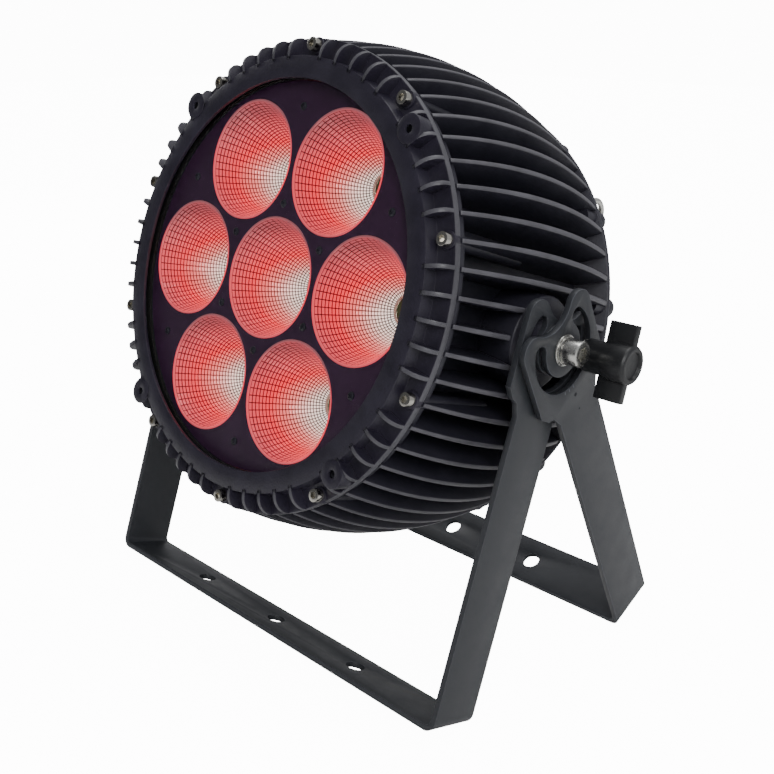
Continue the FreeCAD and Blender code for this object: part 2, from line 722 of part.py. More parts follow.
def rear_cover():
    body = new_body("rear_cover")
    seat, back = size("cover_seat"), size("cover_flange_back")
    pan = size("pan_back")
    revolve(body, [
        (Size(0), size("pan_floor")), (size("pan_inner"), size("pan_floor")),
        (size("pan_inner"), seat), (size("cover_radius"), seat), (size("cover_radius"), back),
        (size("pan_outer"), back), (size("pan_outer") - 1, pan), (Size(0), pan),
    ])
    x, y = on_circle(size("lug_circle"), SIZES["lug_first"])
    sketch = new_sketch(body, "XY_Plane", size("lug_back"))
    draw_circle(sketch, size("lug_radius"), x, y)
    lug = feature(body, "Pad", sketch, Length=seat - size("lug_back"))
    pattern(body, [lug], 16)
    sketch = new_sketch(body, "XY_Plane", seat)
    draw_circle(sketch, size("screw_thread") / 2, x, y)
    hole = feature(body, "Pocket", sketch, Type="ThroughAll")
    pattern(body, [hole], 16)
    cut_eye_hole(body)
    cut_panel_openings(body)
    return keep(body, "rear_cover", HEAD)


def cut_eye_hole(body):
    x, y = on_circle(size("eye_circle"), SIZES["eye_angle"])
    sketch = new_sketch(body, "XY_Plane", size("cover_seat"))
    draw_circle(sketch, size("screw_thread") / 2, x, y)
    feature(body, "Pocket", sketch, Type="ThroughAll")


def socket_places():
    x = size("socket_x")
    return {"power_inlet": (x, size("power_y")), "power_outlet": (-x, size("power_y")),
            "data_inlet": (x, size("data_y")), "data_outlet": (-x, size("data_y"))}


def cut_panel_openings(body):
    """Openings in the cover's flat back for the window, buttons, sockets and vent."""
    sketch = new_sketch(body, "XY_Plane", size("pan_floor"))
    draw_rectangle(sketch, size("window_length") / 2 - size("window_lip"),
                   size("window_height") / 2 - size("window_lip"), Size(0), size("window_y"))
    for index in range(len(BUTTONS)):
        draw_circle(sketch, size("button_hole"), button_x(index), size("button_y"))
    for x, y in socket_places().values():
        draw_circle(sketch, size("socket_radius"), x, y)
    draw_circle(sketch, size("vent_stem"), Size(0), size("vent_y"))
    feature(body, "Pocket", sketch, Type="ThroughAll")


def rear_fasteners():
    screw = loose_screw("rear_screw", size("screw_thread"), size("rear_screw_head"),
                        -size("rear_screw_tip"), -size("lug_back"), -size("rear_screw_back"),
                        size("screw_key"), Size(1.8))
    flip = Placement(Vector(SIZES["lug_circle"], 0, 0), Rotation(Vector(1, 0, 0), 180))
    copies("rear_screws", screw, [turn.multiply(flip) for turn in around(16, SIZES["lug_first"])])


def panel_hardware():
    window = plate("display_window", size("window_length") / 2, size("window_height") / 2,
                   size("window_back"), size("pan_back"))
    keep(window, "display_window",
         HEAD.multiply(Placement(Vector(0, SIZES["window_y"], 0), Rotation())))
    for index, name in enumerate(BUTTONS):
        place = Placement(Vector(button_x(index).value, SIZES["button_y"], 0), Rotation())
        radius, collar = size("button_radius"), size("button_collar_radius")
        turned(f"button_{name}", [
            (Size(0), size("button_back")), (radius, size("button_back")),
            (radius, size("button_collar_back")), (collar, size("button_collar_back")),
            (collar, size("button_collar_front")), (radius, size("button_collar_front")),
            (radius, size("button_inner")), (Size(0), size("button_inner")),
        ], HEAD.multiply(place))
    for name, (x, y) in socket_places().items():
        panel_socket(name, Placement(Vector(x.value, y.value, 0), Rotation()))
    vent = Placement(Vector(0, SIZES["vent_y"], 0), Rotation())
    head, stem = size("vent_head"), size("vent_stem")
    turned("vent_valve", [
        (Size(0), size("vent_back")), (head, size("vent_back")), (head, size("pan_back")),
        (stem, size("pan_back")), (stem, size("vent_front")), (Size(0), size("vent_front")),
    ], HEAD.multiply(vent))


def panel_socket(name, place):
    """A round panel socket: pins stand up in an inlet, an outlet has holes instead."""
    body = new_body(name)
    flange, barrel, bore = size("socket_flange"), size("socket_radius"), size("socket_bore")
    floor = size("socket_floor")
    revolve(body, [
        (Size(0), floor), (bore, floor), (bore, size("socket_back")),
        (flange, size("socket_back")), (flange, size("pan_back")), (barrel, size("pan_back")),
        (barrel, size("socket_front")), (Size(0), size("socket_front")),
    ])
    sketch = new_sketch(body, "XY_Plane", floor)
    for index in range(CONTACTS):
        x, y = on_circle(size("contact_circle"), 90 + 120 * index)
        draw_circle(sketch, size("contact_radius"), x, y)
    if name.endswith("inlet"):
        feature(body, "Pad", sketch, Length=floor - size("contact_back"), Reversed=True)
    else:
        feature(body, "Pocket", sketch, Length=size("contact_depth") - floor, Reversed=True)
    return keep(body, name, HEAD.multiply(place))


def safety_eye():
    """A stainless ring on a threaded shank, for the safety wire."""
    ring = doc.addObject("Part::Torus", "eye_ring_shape")
    bind(ring, Radius1=size("eye_ring"), Radius2=size("eye_wire"))
    ring.Placement = Placement(Vector(0, 0, SIZES["eye_centre"]), Rotation(Vector(0, 1, 0), 90))
    collar = doc.addObject("Part::Cylinder", "eye_collar_shape")
    bind(collar, Radius=size("eye_collar"), Height=size("cover_flange_back") - size("eye_collar_back"))
    collar.Placement.Base.z = SIZES["eye_collar_back"]
    shank = doc.addObject("Part::Cylinder", "eye_shank_shape")
    bind(shank, Radius=size("screw_thread") / 2, Height=size("rear_flange") - size("eye_collar_back"))
    shank.Placement.Base.z = SIZES["eye_collar_back"]
    eye = doc.addObject("Part::MultiFuse", "safety_eye_shape")
    eye.Shapes = [ring, collar, shank]
    x, y = on_circle(SIZES["eye_circle"], SIZES["eye_angle"])
    return keep(eye, "safety_eye", HEAD.multiply(Placement(Vector(x, y, 0), Rotation())))


# Pivots and clamp knobs

def washer_pair(label, hole, radius, start, end, back=0.0):
    """One washer on each side of the head, both in one node."""
    washer = new_body(f"{label}_master")
    revolve(washer, ring_points(hole / 2, radius, start, end))
    doc.recompute()
    return copies(label, washer, [side_placement(side, back) for side in SIDES.values()])


def pivots():
    bolt = loose_screw("pivot_bolt", size("pivot_bolt"), size("bolt_head"), size("pivot_tip"),
                       size("bolt_seat"), size("bolt_end"), size("bolt_key"),
                       size("bolt_key_depth"))
    copies("pivot_bolts", bolt, [side_placement(side) for side in SIDES.values()])
    hole = size("pivot_bolt")
    washer_pair("hub_spacers", hole, size("spacer_radius"), size("pad_face"), size("spacer_end"))
    washer_pair("plate_washers", size("pivot_hole"), size("plate_washer_radius"),
                size("plate_washer_start"), size("plate_washer_end"))
    washer_pair("flat_washers", hole, size("flat_washer_radius"), size("flat_washer_start"),
                size("flat_washer_end"))
    washer_pair("spring_washers", hole, size("spring_washer_radius"), size("flat_washer_end"),
                size("bolt_seat"))
    washer_pair("knob_washers", size("stud_hole"), size("knob_washer_radius"),
                size("flat_washer_start"), size("flat_washer_end"), SIZES["stud_back"])


def clamp_knob(name, side):
    """A wing knob: a hub, a flat wing across it and a round cap over the wing's middle."""
    solids = []
    for part, radius, start, end in (
            ("hub", "knob_hub", "knob_start", "knob_end"),
            ("cap", "knob_cap", "cap_start", "cap_end")):
        cylinder = doc.addObject("Part::Cylinder", f"knob_{name}_{part}")
        bind(cylinder, Radius=size(radius), Height=size(end) - size(start))
        cylinder.Placement.Base.z = SIZES[start]
        solids.append(cylinder)
    wing = doc.addObject("Part::Box", f"knob_{name}_wing")
    bind(wing, Length=size("wing_thickness"), Width=size("wing_length"),
         Height=size("knob_end") - size("wing_start"))
    corner = (-SIZES["wing_thickness"] / 2, -SIZES["wing_length"] / 2, SIZES["wing_start"])
    wing.Placement.Base = Vector(*corner)
    solids.append(wing)
    whole = doc.addObject("Part::MultiFuse", f"knob_{name}_whole")
    whole.Shapes = solids
    bore = doc.addObject("Part::Cylinder", f"knob_{name}_bore")
    bind(bore, Radius=size("stud_hole") / 2, Height=size("stud_end") - size("knob_start") + 0.1)
    bore.Placement.Base.z = SIZES["knob_start"]
    knob = doc.addObject("Part::Cut", f"knob_{name}_shape")
    knob.Base = whole
    knob.Tool = bore
    lean = side * (180 + SIZES["head_tilt"] - SIZES["knob_lean"])
    keep(knob, f"knob_{name}", side_placement(side, SIZES["stud_back"], lean))
    stud = ring_points(Size(0), size("stud") / 2, size("stud_tip"), size("stud_end"))
    turned(f"knob_stud_{name}", stud, side_placement(side, SIZES["stud_back"]))


def build():
    fill_sheet()
    bracket("outer_bracket", size("outer_width"), size("outer_lean"), SIZES["outer_lean"])
    bracket("inner_bracket", size("inner_width"), size("inner_lean"), -SIZES["inner_lean"])
    housing()
    front_bezel()
    front_fasteners()
    seals_and_glass()
    optics()
    electronics()
    rear_cover()
    rear_fasteners()
    panel_hardware()
    safety_eye()
    pivots()
    for name, side in SIDES.items():
        clamp_knob(name, side)
    doc.recompute()


def check_and_write():
    """Stops on any failed feature or broken shape, then writes one STEP file per node."""
    failed = [item.Name for item in doc.Objects
              if "Invalid" in item.State or "Error" in item.State]
    if failed:
        raise RuntimeError(f"failed objects: {failed}")
    os.makedirs("parts", exist_ok=True)
    for label, item in nodes.items():
        if item.Shape.isNull() or not item.Shape.isValid():
            raise RuntimeError(f"{label} has no valid shape")
        item.Shape.exportStep(f"parts/{label}.step")
    print(f"{len(nodes)} nodes written")


build()
check_and_write()
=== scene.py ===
import math

import bmesh
import bpy
from bpy.props import FloatProperty, FloatVectorProperty, IntProperty, PointerProperty
from mathutils import Matrix, Vector


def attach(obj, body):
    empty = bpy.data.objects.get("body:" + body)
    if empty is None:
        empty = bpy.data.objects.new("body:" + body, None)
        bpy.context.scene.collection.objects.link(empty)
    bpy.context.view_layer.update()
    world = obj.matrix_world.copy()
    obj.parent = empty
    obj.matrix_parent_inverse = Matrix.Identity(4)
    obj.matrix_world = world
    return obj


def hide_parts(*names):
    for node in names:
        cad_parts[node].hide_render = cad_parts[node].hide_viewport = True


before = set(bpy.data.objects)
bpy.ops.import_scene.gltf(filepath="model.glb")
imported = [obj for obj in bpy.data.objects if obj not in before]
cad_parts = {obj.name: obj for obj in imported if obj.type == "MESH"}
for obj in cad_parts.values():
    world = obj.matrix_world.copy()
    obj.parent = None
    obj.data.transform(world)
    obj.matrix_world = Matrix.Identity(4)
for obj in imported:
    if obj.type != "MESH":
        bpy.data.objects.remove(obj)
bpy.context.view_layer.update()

bl_info = {
    "name": "Par Can Light",
    "version": (1, 0, 0),
    "blender": (4, 5, 0),
    "location": "View3D > Sidebar > Par Light",
    "description": "Seven-lamp par can light on a folding twin bracket",
    "category": "Add Mesh",
}

# Where things are. Lengths in this file are millimetres unless a name or comment says metres.
MM = 0.001
SIDES = {"right": 1, "left": -1}
PIVOT = Vector((0.0, -1.0, 243.0))
HEAD_TILT = 18.6
OUTER_LEAN = 26.1
STUD_BACK = 22.8
KNOB_LEAN = 17.1
SCREWS, SCREW_FIRST, SCREW_CIRCLE = 10, 18.0, 150.5
RIBS_BETWEEN_SCREWS = 5
FIN_STEP = 6.0
PAD_RADIUS, PAD_POCKET = 30, 31.5
LUGS, LUG_FIRST, LUG_CIRCLE = 16, 11.5, 155.5
ACCESSORIES, ACCESSORY_FIRST, ACCESSORY_CIRCLE = 4, 45, 146.5
MASK_SCREW_CIRCLES = (49.1, 112)
EYE_CIRCLE, EYE_ANGLE = 151, math.radians(38.5)
WINDOW_Y, BUTTON_Y, VENT_Y = 52, 18, -100
LAMP_PITCH = 85.1
LAMPS = {"centre": (0.0, 0.0)}
LAMPS.update({str(k + 1): (LAMP_PITCH * math.cos(math.radians(60 * k)),
                           LAMP_PITCH * math.sin(math.radians(60 * k))) for k in range(6)})
BUTTONS = {"menu": -30.0, "down": -10.0, "up": 10.0, "enter": 30.0}
SOCKETS = {"power_inlet": (42.0, -26.0), "power_outlet": (-42.0, -26.0),
           "data_inlet": (42.0, -72.0), "data_outlet": (-42.0, -72.0)}

# The camera stands at the lamp's front right, a little above it. Metres and directions.
CAMERA_PLACE = (0.5190, -0.4885, 0.43186)
CAMERA_RIGHT = Vector((0.73007266, 0.68331621, 0.0085358))
CAMERA_UP = Vector((-0.26146276, 0.26776964, 0.9273))
CAMERA_SHIFT = (-0.0445, 0.0441)
# The flat front of the lamp mirrors this direction to the camera
MIRRORED_WAY = (-0.70, -0.68, 0.2)


def turn(angle, axis):
    """A turn in degrees about one axis."""
    return Matrix.Rotation(math.radians(angle), 4, axis)


def shift(x=0.0, y=0.0, z=0.0):
    return Matrix.Translation((x, y, z))


TO_METRES = Matrix.Scale(MM, 4)
# The head is drawn with the beam along +Z, up along +Y and the origin on the tilt axis
HEAD = TO_METRES @ Matrix.Translation(PIVOT) @ turn(90 - HEAD_TILT, "X")


def side_place(side, back=0.0, lean=0.0):
    """A piece drawn along +Z points out of one side of the head."""
    return HEAD @ shift(z=-back) @ turn(90 * side, "Y") @ turn(lean, "Z")


def linear(code):
    """An sRGB hex colour as the linear values that shaders work in."""
    values = [int(code[k:k + 2], 16) / 255 for k in (1, 3, 5)]
    return [v / 12.92 if v <= 0.04045 else ((v + 0.055) / 1.055) ** 2.4 for v in values]


# Settings

class ParSizes(bpy.types.PropertyGroup):
    fin_thickness: FloatProperty(
        name="Fin thickness", description="Thickness of a cooling fin at its edge",
        default=3.2 * MM, min=0.001, max=0.006, unit="LENGTH")
    fin_round: FloatProperty(
        name="Fin rounding", description="Radius along the outer edge of a fin",
        default=0.9 * MM, min=0.0, max=0.002, unit="LENGTH")
    bezel_rib: FloatProperty(
        name="Bezel rib thickness", description="Thickness of the ribs round the front ring",
        default=2.6 * MM, min=0.001, max=0.004, unit="LENGTH")
    cast_edge: FloatProperty(
        name="Cast edge", description="Rounding of the edges of the cast pieces",
        default=0.7 * MM, min=0.0, max=0.002, unit="LENGTH")
    plate_edge: FloatProperty(
        name="Plate edge", description="Rounding of the edges of the bracket plate",
        default=0.6 * MM, min=0.0, max=0.0015, unit="LENGTH")
    flutes: IntProperty(
        name="Flutes", description="Facets round each reflector", default=48, min=12, max=96)
    rings: IntProperty(
        name="Facet rings", description="Rings of facets down each reflector",
        default=24, min=4, max=40)
    facet_rise: FloatProperty(
        name="Facet rise", description="How far the middle of a facet stands proud",
        default=0.25 * MM, min=0.0, max=0.001, unit="LENGTH")
    facet_groove: FloatProperty(
        name="Facet groove", description="Width of the groove along the side of a facet",
        default=0.3 * MM, min=0.0, max=0.0006, unit="LENGTH")


class ParColours(bpy.types.PropertyGroup):
    bracket: FloatVectorProperty(
        name="Bracket", description="Powder coat of the two brackets",
        default=linear("#2b2d31"), subtype="COLOR", min=0, max=1)
    housing: FloatVectorProperty(
        name="Housing", description="Enamel of the finned housing and rear cover",
        default=linear("#24232c"), subtype="COLOR", min=0, max=1)
    bezel: FloatVectorProperty(
        name="Bezel", description="Enamel of the front ring",
        default=linear("#211e29"), subtype="COLOR", min=0, max=1)
    mask: FloatVectorProperty(
        name="Mask", description="Print on the plate round the lamps",
        default=linear("#38213a"), subtype="COLOR", min=0, max=1)
    knob: FloatVectorProperty(
        name="Knob", description="Moulded nylon of the clamp knobs",
        default=linear("#121315"), subtype="COLOR", min=0, max=1)
    glow: FloatVectorProperty(
        name="Glow", description="Colour of the lamps themselves",
        default=linear("#fff0e4"), subtype="COLOR", min=0, max=1)
    glow_power: FloatProperty(
        name="Glow power", description="Strength of the light from each lamp",
        default=14.0, min=0, max=500)


class ParStage(bpy.types.PropertyGroup):
    lens: FloatProperty(
        name="Lens", description="Focal length of the camera in millimetres",
        default=47.07, min=10, max=200)
    world_light: FloatProperty(
        name="Room light", description="Strength of the light from the room round the lamp",
        default=0.55, min=0, max=10)
    wall_light: FloatProperty(
        name="Wall light", description="Brightness of the pale wall and floor as seen",
        default=13.0, min=0, max=50)
    key_light: FloatProperty(
        name="Key light", description="Power of the large soft light",
        default=22.0, min=0, max=500, subtype="POWER")


# Shapes. Each one is drawn in millimetres round its own origin.

def round_edges(bm, width, segments=2, sharper=30.0, chosen=None):
    """Rounds the sharp edges of a shape, or only those that chosen accepts."""
    limit = math.radians(sharper)
    edges = [e for e in bm.edges
             if len(e.link_faces) == 2 and e.calc_face_angle(0) > limit
             and (chosen is None or chosen(e))]
    made = bmesh.ops.bevel(bm, geom=edges, offset=width, offset_type="OFFSET", segments=segments,
                           profile=0.5, affect="EDGES", material=-1, clamp_overlap=True)
    return made["faces"]


def lathe(points, steps=64):
    """A closed (radius, height) outline given one full turn about Z."""
    bm = bmesh.new()
    ring = [bm.verts.new((radius, 0, height)) for radius, height in points]
    edges = [bm.edges.new((ring[k], ring[(k + 1) % len(ring)])) for k in range(len(ring))
             if max(points[k][0], points[(k + 1) % len(points)][0]) > 0]
    bmesh.ops.spin(bm, geom=ring + edges, cent=(0, 0, 0), axis=(0, 0, 1),
                   angle=math.tau, steps=steps, use_merge=True)
    bmesh.ops.remove_doubles(bm, verts=bm.verts, dist=1e-4)
    bmesh.ops.recalc_face_normals(bm, faces=bm.faces)
    return bm


def tube(inner, outer, low, high, steps=48):
    """A ring, or a solid disc when inner is 0."""
    if inner > 0:
        return lathe([(inner, low), (outer, low), (outer, high), (inner, high)], steps)
    return lathe([(0, low), (outer, low), (outer, high), (0, high)], steps)


def slab(points, low, high):
    """A flat outline given a thickness along Z."""
    bm = bmesh.new()
    face = bm.faces.new([bm.verts.new((x, y, low)) for x, y in points])
    grown = bmesh.ops.extrude_face_region(bm, geom=[face])["geom"]
    corners = [item for item in grown if isinstance(item, bmesh.types.BMVert)]
    bmesh.ops.translate(bm, verts=corners, vec=(0, 0, high - low))
    bmesh.ops.recalc_face_normals(bm, faces=bm.faces)
    return bm


def block(length, width, low, high):
    """A box round the Z axis."""
    x, y = length / 2, width / 2
    return slab([(-x, -y), (x, -y), (x, y), (-x, y)], low, high)


def bowed_plate(start, crown, end, root, thickness, steps):
    """A plate in the XZ plane with a bowed outer edge from start over crown to end."""
    bm = bmesh.new()
    a, b, c = (Vector((r, 0, z)) for r, z in (start, crown, end))
    centre = circle_centre(a, b, c)
    sweep = (a - centre).angle(b - centre) + (b - centre).angle(c - centre)
    first = bm.verts.new(a)
    axis = (a - centre).cross(b - centre).normalized()
    bmesh.ops.spin(bm, geom=[first], cent=centre, axis=axis, angle=sweep, steps=steps)
    grown = bmesh.ops.extrude_edge_only(bm, edges=bm.edges[:])["geom"]
    for item in grown:
        if isinstance(item, bmesh.types.BMVert):
            item.co.x = root
    bmesh.ops.translate(bm, verts=bm.verts, vec=(0, -thickness / 2, 0))
    grown = bmesh.ops.extrude_face_region(bm, geom=bm.faces[:])["geom"]
    far = [item for item in grown if isinstance(item, bmesh.types.BMVert)]
    bmesh.ops.translate(bm, verts=far, vec=(0, thickness, 0))
    bmesh.ops.recalc_face_normals(bm, faces=bm.faces)
    return bm


def circle_centre(a, b, c):
    """Centre of the circle through three points of the XZ plane."""
    ab, ac = b - a, c - a
    double = 2 * (ab.x * ac.z - ab.z * ac.x)
    x = (ac.z * ab.length_squared - ab.z * ac.length_squared) / double
    z = (ab.x * ac.length_squared - ac.x * ab.length_squared) / double
    return a + Vector((x, 0, z))


def add(bm, other, places=(Matrix(),)):
    """Puts copies of another shape into bm, one at each place."""
    mesh = bpy.data.meshes.new("loose")
    other.to_mesh(mesh)
    other.free()
    for place in places:
        copy = mesh.copy()
        copy.transform(place)
        bm.from_mesh(copy)
        bpy.data.meshes.remove(copy)
    bpy.data.meshes.remove(mesh)


def around(count, first=0.0, radius=0.0):
    """Evenly spaced places round the Z axis, each turned to face outwards."""
    return [turn(first + 360 / count * k, "Z") @ shift(radius) for k in range(count)]


def loose_object(bm):
    """A helper object for a modifier, which its user deletes."""
    mesh = bpy.data.meshes.new("loose")
    bm.to_mesh(mesh)
    bm.free()
    item = bpy.data.objects.new("loose", mesh)
    bpy.context.scene.collection.objects.link(item)
    return item


def carve(bm, cutter):
    """Cuts one closed shape out of another and returns what is left."""
    blank, tool = loose_object(bm), loose_object(cutter)
    cut = blank.modifiers.new("cut", "BOOLEAN")
    cut.operation = "DIFFERENCE"
    cut.solver = "EXACT"
    cut.object = tool
    seen = blank.evaluated_get(bpy.context.evaluated_depsgraph_get())
    left = bmesh.new()
    left.from_mesh(seen.to_mesh())
    seen.to_mesh_clear()
    for item in (blank, tool):
        mesh = item.data
        bpy.data.objects.remove(item)
        bpy.data.meshes.remove(mesh)
    bmesh.ops.remove_doubles(left, verts=left.verts, dist=1e-4)
    return left


def copy_of(node):
    """The shape of a CAD node in millimetres, its loose triangles merged into flat faces."""
    bm = bmesh.new()
    bm.from_mesh(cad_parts[node].data)
    bmesh.ops.scale(bm, vec=(1 / MM,) * 3, verts=bm.verts)
    bmesh.ops.remove_doubles(bm, verts=bm.verts, dist=1e-3)
    bmesh.ops.dissolve_limit(bm, angle_limit=math.radians(0.3), verts=bm.verts, edges=bm.edges)
    return bm


def keep(bm, name, body, finish, place=HEAD, stands_for=(), smooth=32.0):
    """Makes a finished piece of a shape, in place, riding on its body."""
    bmesh.ops.transform(bm, matrix=place, verts=bm.verts)
    mesh = bpy.data.meshes.new(name)
    bm.to_mesh(mesh)
    bm.free()
    mesh.shade_smooth()
    mesh.set_sharp_from_angle(angle=math.radians(smooth))
    mesh.materials.append(finish)
    piece = bpy.data.objects.new(name, mesh)
    bpy.context.scene.collection.objects.link(piece)
    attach(piece, body)
    if stands_for:
        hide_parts(*stands_for)
    return piece


# Finishes

def put(tree, kind, inputs=None, **settings):
    """Adds a shader node; an input takes a value or another node's output."""
    made = tree.nodes.new(kind)
    for name, value in settings.items():
        setattr(made, name, value)
    for name, value in (inputs or {}).items():
        if isinstance(value, bpy.types.NodeSocket):
            tree.links.new(value, made.inputs[name])
        else:
            made.inputs[name].default_value = value
    return made


def finish(name):
    """The finish of this name, made when it is first asked for."""
    found = bpy.data.materials.get(name)
    return found or FINISHES[name](name)


def start_finish(name):
    material = bpy.data.materials.new(name)
    material.use_nodes = True
    material.node_tree.nodes.clear()
    return material, material.node_tree


def close_finish(material, shader):
    tree = material.node_tree
    put(tree, "ShaderNodeOutputMaterial", {"Surface": shader.outputs[0]})
    return material


def grain(tree, size, detail=3.0, stretch=(1, 1, 1)):
    """Noise whose grains are about size millimetres across."""
    where = put(tree, "ShaderNodeTexCoord").outputs["Object"]
    where = put(tree, "ShaderNodeMapping", {"Vector": where, "Scale": stretch}).outputs[0]
    return put(tree, "ShaderNodeTexNoise",
               {"Vector": where, "Scale": 1 / (size * MM), "Detail": detail,
                "Roughness": 0.55}).outputs[0]


def between(tree, source, low, high):
    """Noise spread over the range from low to high."""
    return put(tree, "ShaderNodeMapRange",
               {"Value": source, "From Min": 0.3, "From Max": 0.7,
                "To Min": low, "To Max": high}).outputs[0]


def tinted(tree, source, colour, lighter):
    """The colour, drifting a little towards a lighter one."""
    high = [min(1.0, value * lighter) for value in colour]
    ramp = put(tree, "ShaderNodeValToRGB", {"Fac": source})
    ramp.color_ramp.elements[0].position = 0.3
    ramp.color_ramp.elements[0].color = (*colour, 1)
    ramp.color_ramp.elements[1].position = 0.72
    ramp.color_ramp.elements[1].color = (*high, 1)
    return ramp.outputs[0]


def coated(name, colour, grit, depth, rough, lighter=1.5, ior=1.5):
    """A coloured coat over a grained surface; grit and depth are millimetres."""
    material, tree = start_finish(name)
    fine = grain(tree, grit)
    broad = grain(tree, 18.0, 4.0)
    bump = put(tree, "ShaderNodeBump", {"Height": fine, "Distance": depth * MM, "Strength": 1.0})
    shader = put(tree, "ShaderNodeBsdfPrincipled",
                 {"Base Color": tinted(tree, broad, colour, lighter), "IOR": ior,
                  "Roughness": between(tree, broad, *rough), "Normal": bump.outputs[0]})
    return close_finish(material, shader)


def metal(name, colour, grit, rough, stretch=(1, 1, 1)):
    """A bare or plated metal with fine tool marks; grit is millimetres."""
    material, tree = start_finish(name)
    fine = grain(tree, grit, 2.0, stretch)
    bump = put(tree, "ShaderNodeBump", {"Height": fine, "Distance": 0.01 * MM, "Strength": 0.6})
    shader = put(tree, "ShaderNodeBsdfPrincipled",
                 {"Base Color": tinted(tree, grain(tree, 9.0), colour, 1.15), "Metallic": 1.0,
                  "Roughness": between(tree, fine, *rough), "Normal": bump.outputs[0]})
    return close_finish(material, shader)


def colours():
    return bpy.context.scene.par_colours


def powder_coat(name):
    # Satin polyester powder baked on steel: an orange-peel skin of soft 1 mm dimples that
    # breaks up highlights. Real dimples are nearer 0.5 mm and are drawn coarser to show.
    return coated(name, colours().bracket, 1.1, 0.05, (0.38, 0.5), 1.2)


def powder_wear_and_highlight(name):
    # A paler powder on the plate's rounded edges: a painted highlight where they catch the light,
    # partly wear where the powder thins. The scale ticks take it too.
    return coated(name, linear("#50535a"), 1.1, 0.03, (0.3, 0.42), 1.3)


def cast_enamel(name):
    # Black enamel over a die casting: the sand of the die shows through as a fine dry grain
    return coated(name, colours().housing, 0.9, 0.08, (0.36, 0.52), 1.3)


def enamel_wear_and_highlight(name):
    # A paler, dry grey enamel with the casting's grain in it on the outer edges of fins and ribs: a
    # painted highlight, partly wear where the enamel is thin and polished
    return coated(name, linear("#434247"), 0.9, 0.08, (0.34, 0.5), 1.7)


def bezel_enamel(name):
    # The same enamel on the front ring, thicker and a little glossier, on a coarser casting
    return coated(name, colours().bezel, 1.3, 0.14, (0.3, 0.45), 1.6)


def stainless(name):
    # Turned stainless steel: bright, with fine tool marks that soften each highlight
    return metal(name, linear("#c9c8c3"), 0.5, (0.16, 0.3))


def nickel(name):
    # Nickel-plated steel screws: darker and glossier than stainless, so a head shows a hard
    # light edge round a dark socket
    return metal(name, linear("#b3b0a8"), 0.5, (0.12, 0.22))


def black_oxide(name):
    # Black-oxide steel: nearly black, with a thin oily glint
    return metal(name, linear("#232428"), 0.5, (0.25, 0.4))


def zinc(name):
    # Zinc-plated steel: greyer and duller than stainless, with a faint cloudy bloom
    return metal(name, linear("#a9abad"), 1.2, (0.28, 0.42))


def aluminium_sheet(name):
    # Brushed aluminium sheet: straight 0.3 mm scratches along its length
    return metal(name, linear("#b4b5b6"), 0.3, (0.3, 0.45), (0.1, 1, 1))


def gold_contact(name):
    # Gold-plated brass contact pins
    return metal(name, linear("#d9a441"), 0.6, (0.2, 0.3))


def rubber(name):
    # Silicone seal: matt black with a faint mould grain
    return coated(name, linear("#1b1b1b"), 0.8, 0.03, (0.6, 0.75), 1.3, 1.43)


def mask_print(name):
    # Aluminium sheet printed satin black: smooth, with a faint violet cast under the glass
    return coated(name, colours().mask, 0.6, 0.01, (0.3, 0.4), 1.2)


def nylon(name):
    # Glass-filled nylon, injection moulded: a fine spark-eroded texture and a waxy sheen
    return coated(name, colours().knob, 0.8, 0.05, (0.34, 0.46), 1.4, 1.53)


def socket_plastic(name):
    # Black polyamide of the panel sockets, a shade bluer than the cover round them
    return coated(name, linear("#1a1c22"), 0.7, 0.03, (0.32, 0.42), 1.3, 1.53)


def abs_button(name):
    # Light grey ABS push buttons with a satin face
    return coated(name, linear("#8d9092"), 0.6, 0.02, (0.35, 0.45), 1.15, 1.54)


def white_nylon(name):
    # Natural nylon spacers: milky off-white
    return coated(name, linear("#d9d5c8"), 0.8, 0.02, (0.45, 0.55), 1.1, 1.53)


def circuit_board(name):
    # Green solder mask over glass-fibre laminate, weave threads about 0.8 mm apart
    return coated(name, linear("#14502f"), 0.8, 0.03, (0.25, 0.4), 1.4, 1.55)


def clear_glass(name):
    # Toughened flat glass: it shows what is behind it and mirrors a little more at the edge
    material, tree = start_finish(name)
    clear = put(tree, "ShaderNodeBsdfTransparent", {"Color": (0.96, 0.97, 0.96, 1)})
    smear = between(tree, grain(tree, 40.0), 0.02, 0.07)
    gloss = put(tree, "ShaderNodeBsdfPrincipled",
                {"Base Color": (*linear("#0c0e0e"), 1), "Roughness": smear, "IOR": 1.52})
    slant = put(tree, "ShaderNodeLayerWeight", {"Blend": 0.5}).outputs["Facing"]
    steep = put(tree, "ShaderNodeMath", {0: slant, 1: 5.0}, operation="POWER").outputs[0]
    share = put(tree, "ShaderNodeMapRange", {"Value": steep, "To Min": 0.02, "To Max": 0.5})
    mix = put(tree, "ShaderNodeMixShader", {"Fac": share.outputs[0]})
    tree.links.new(clear.outputs[0], mix.inputs[1])
    tree.links.new(gloss.outputs[0], mix.inputs[2])
    return close_finish(material, mix)


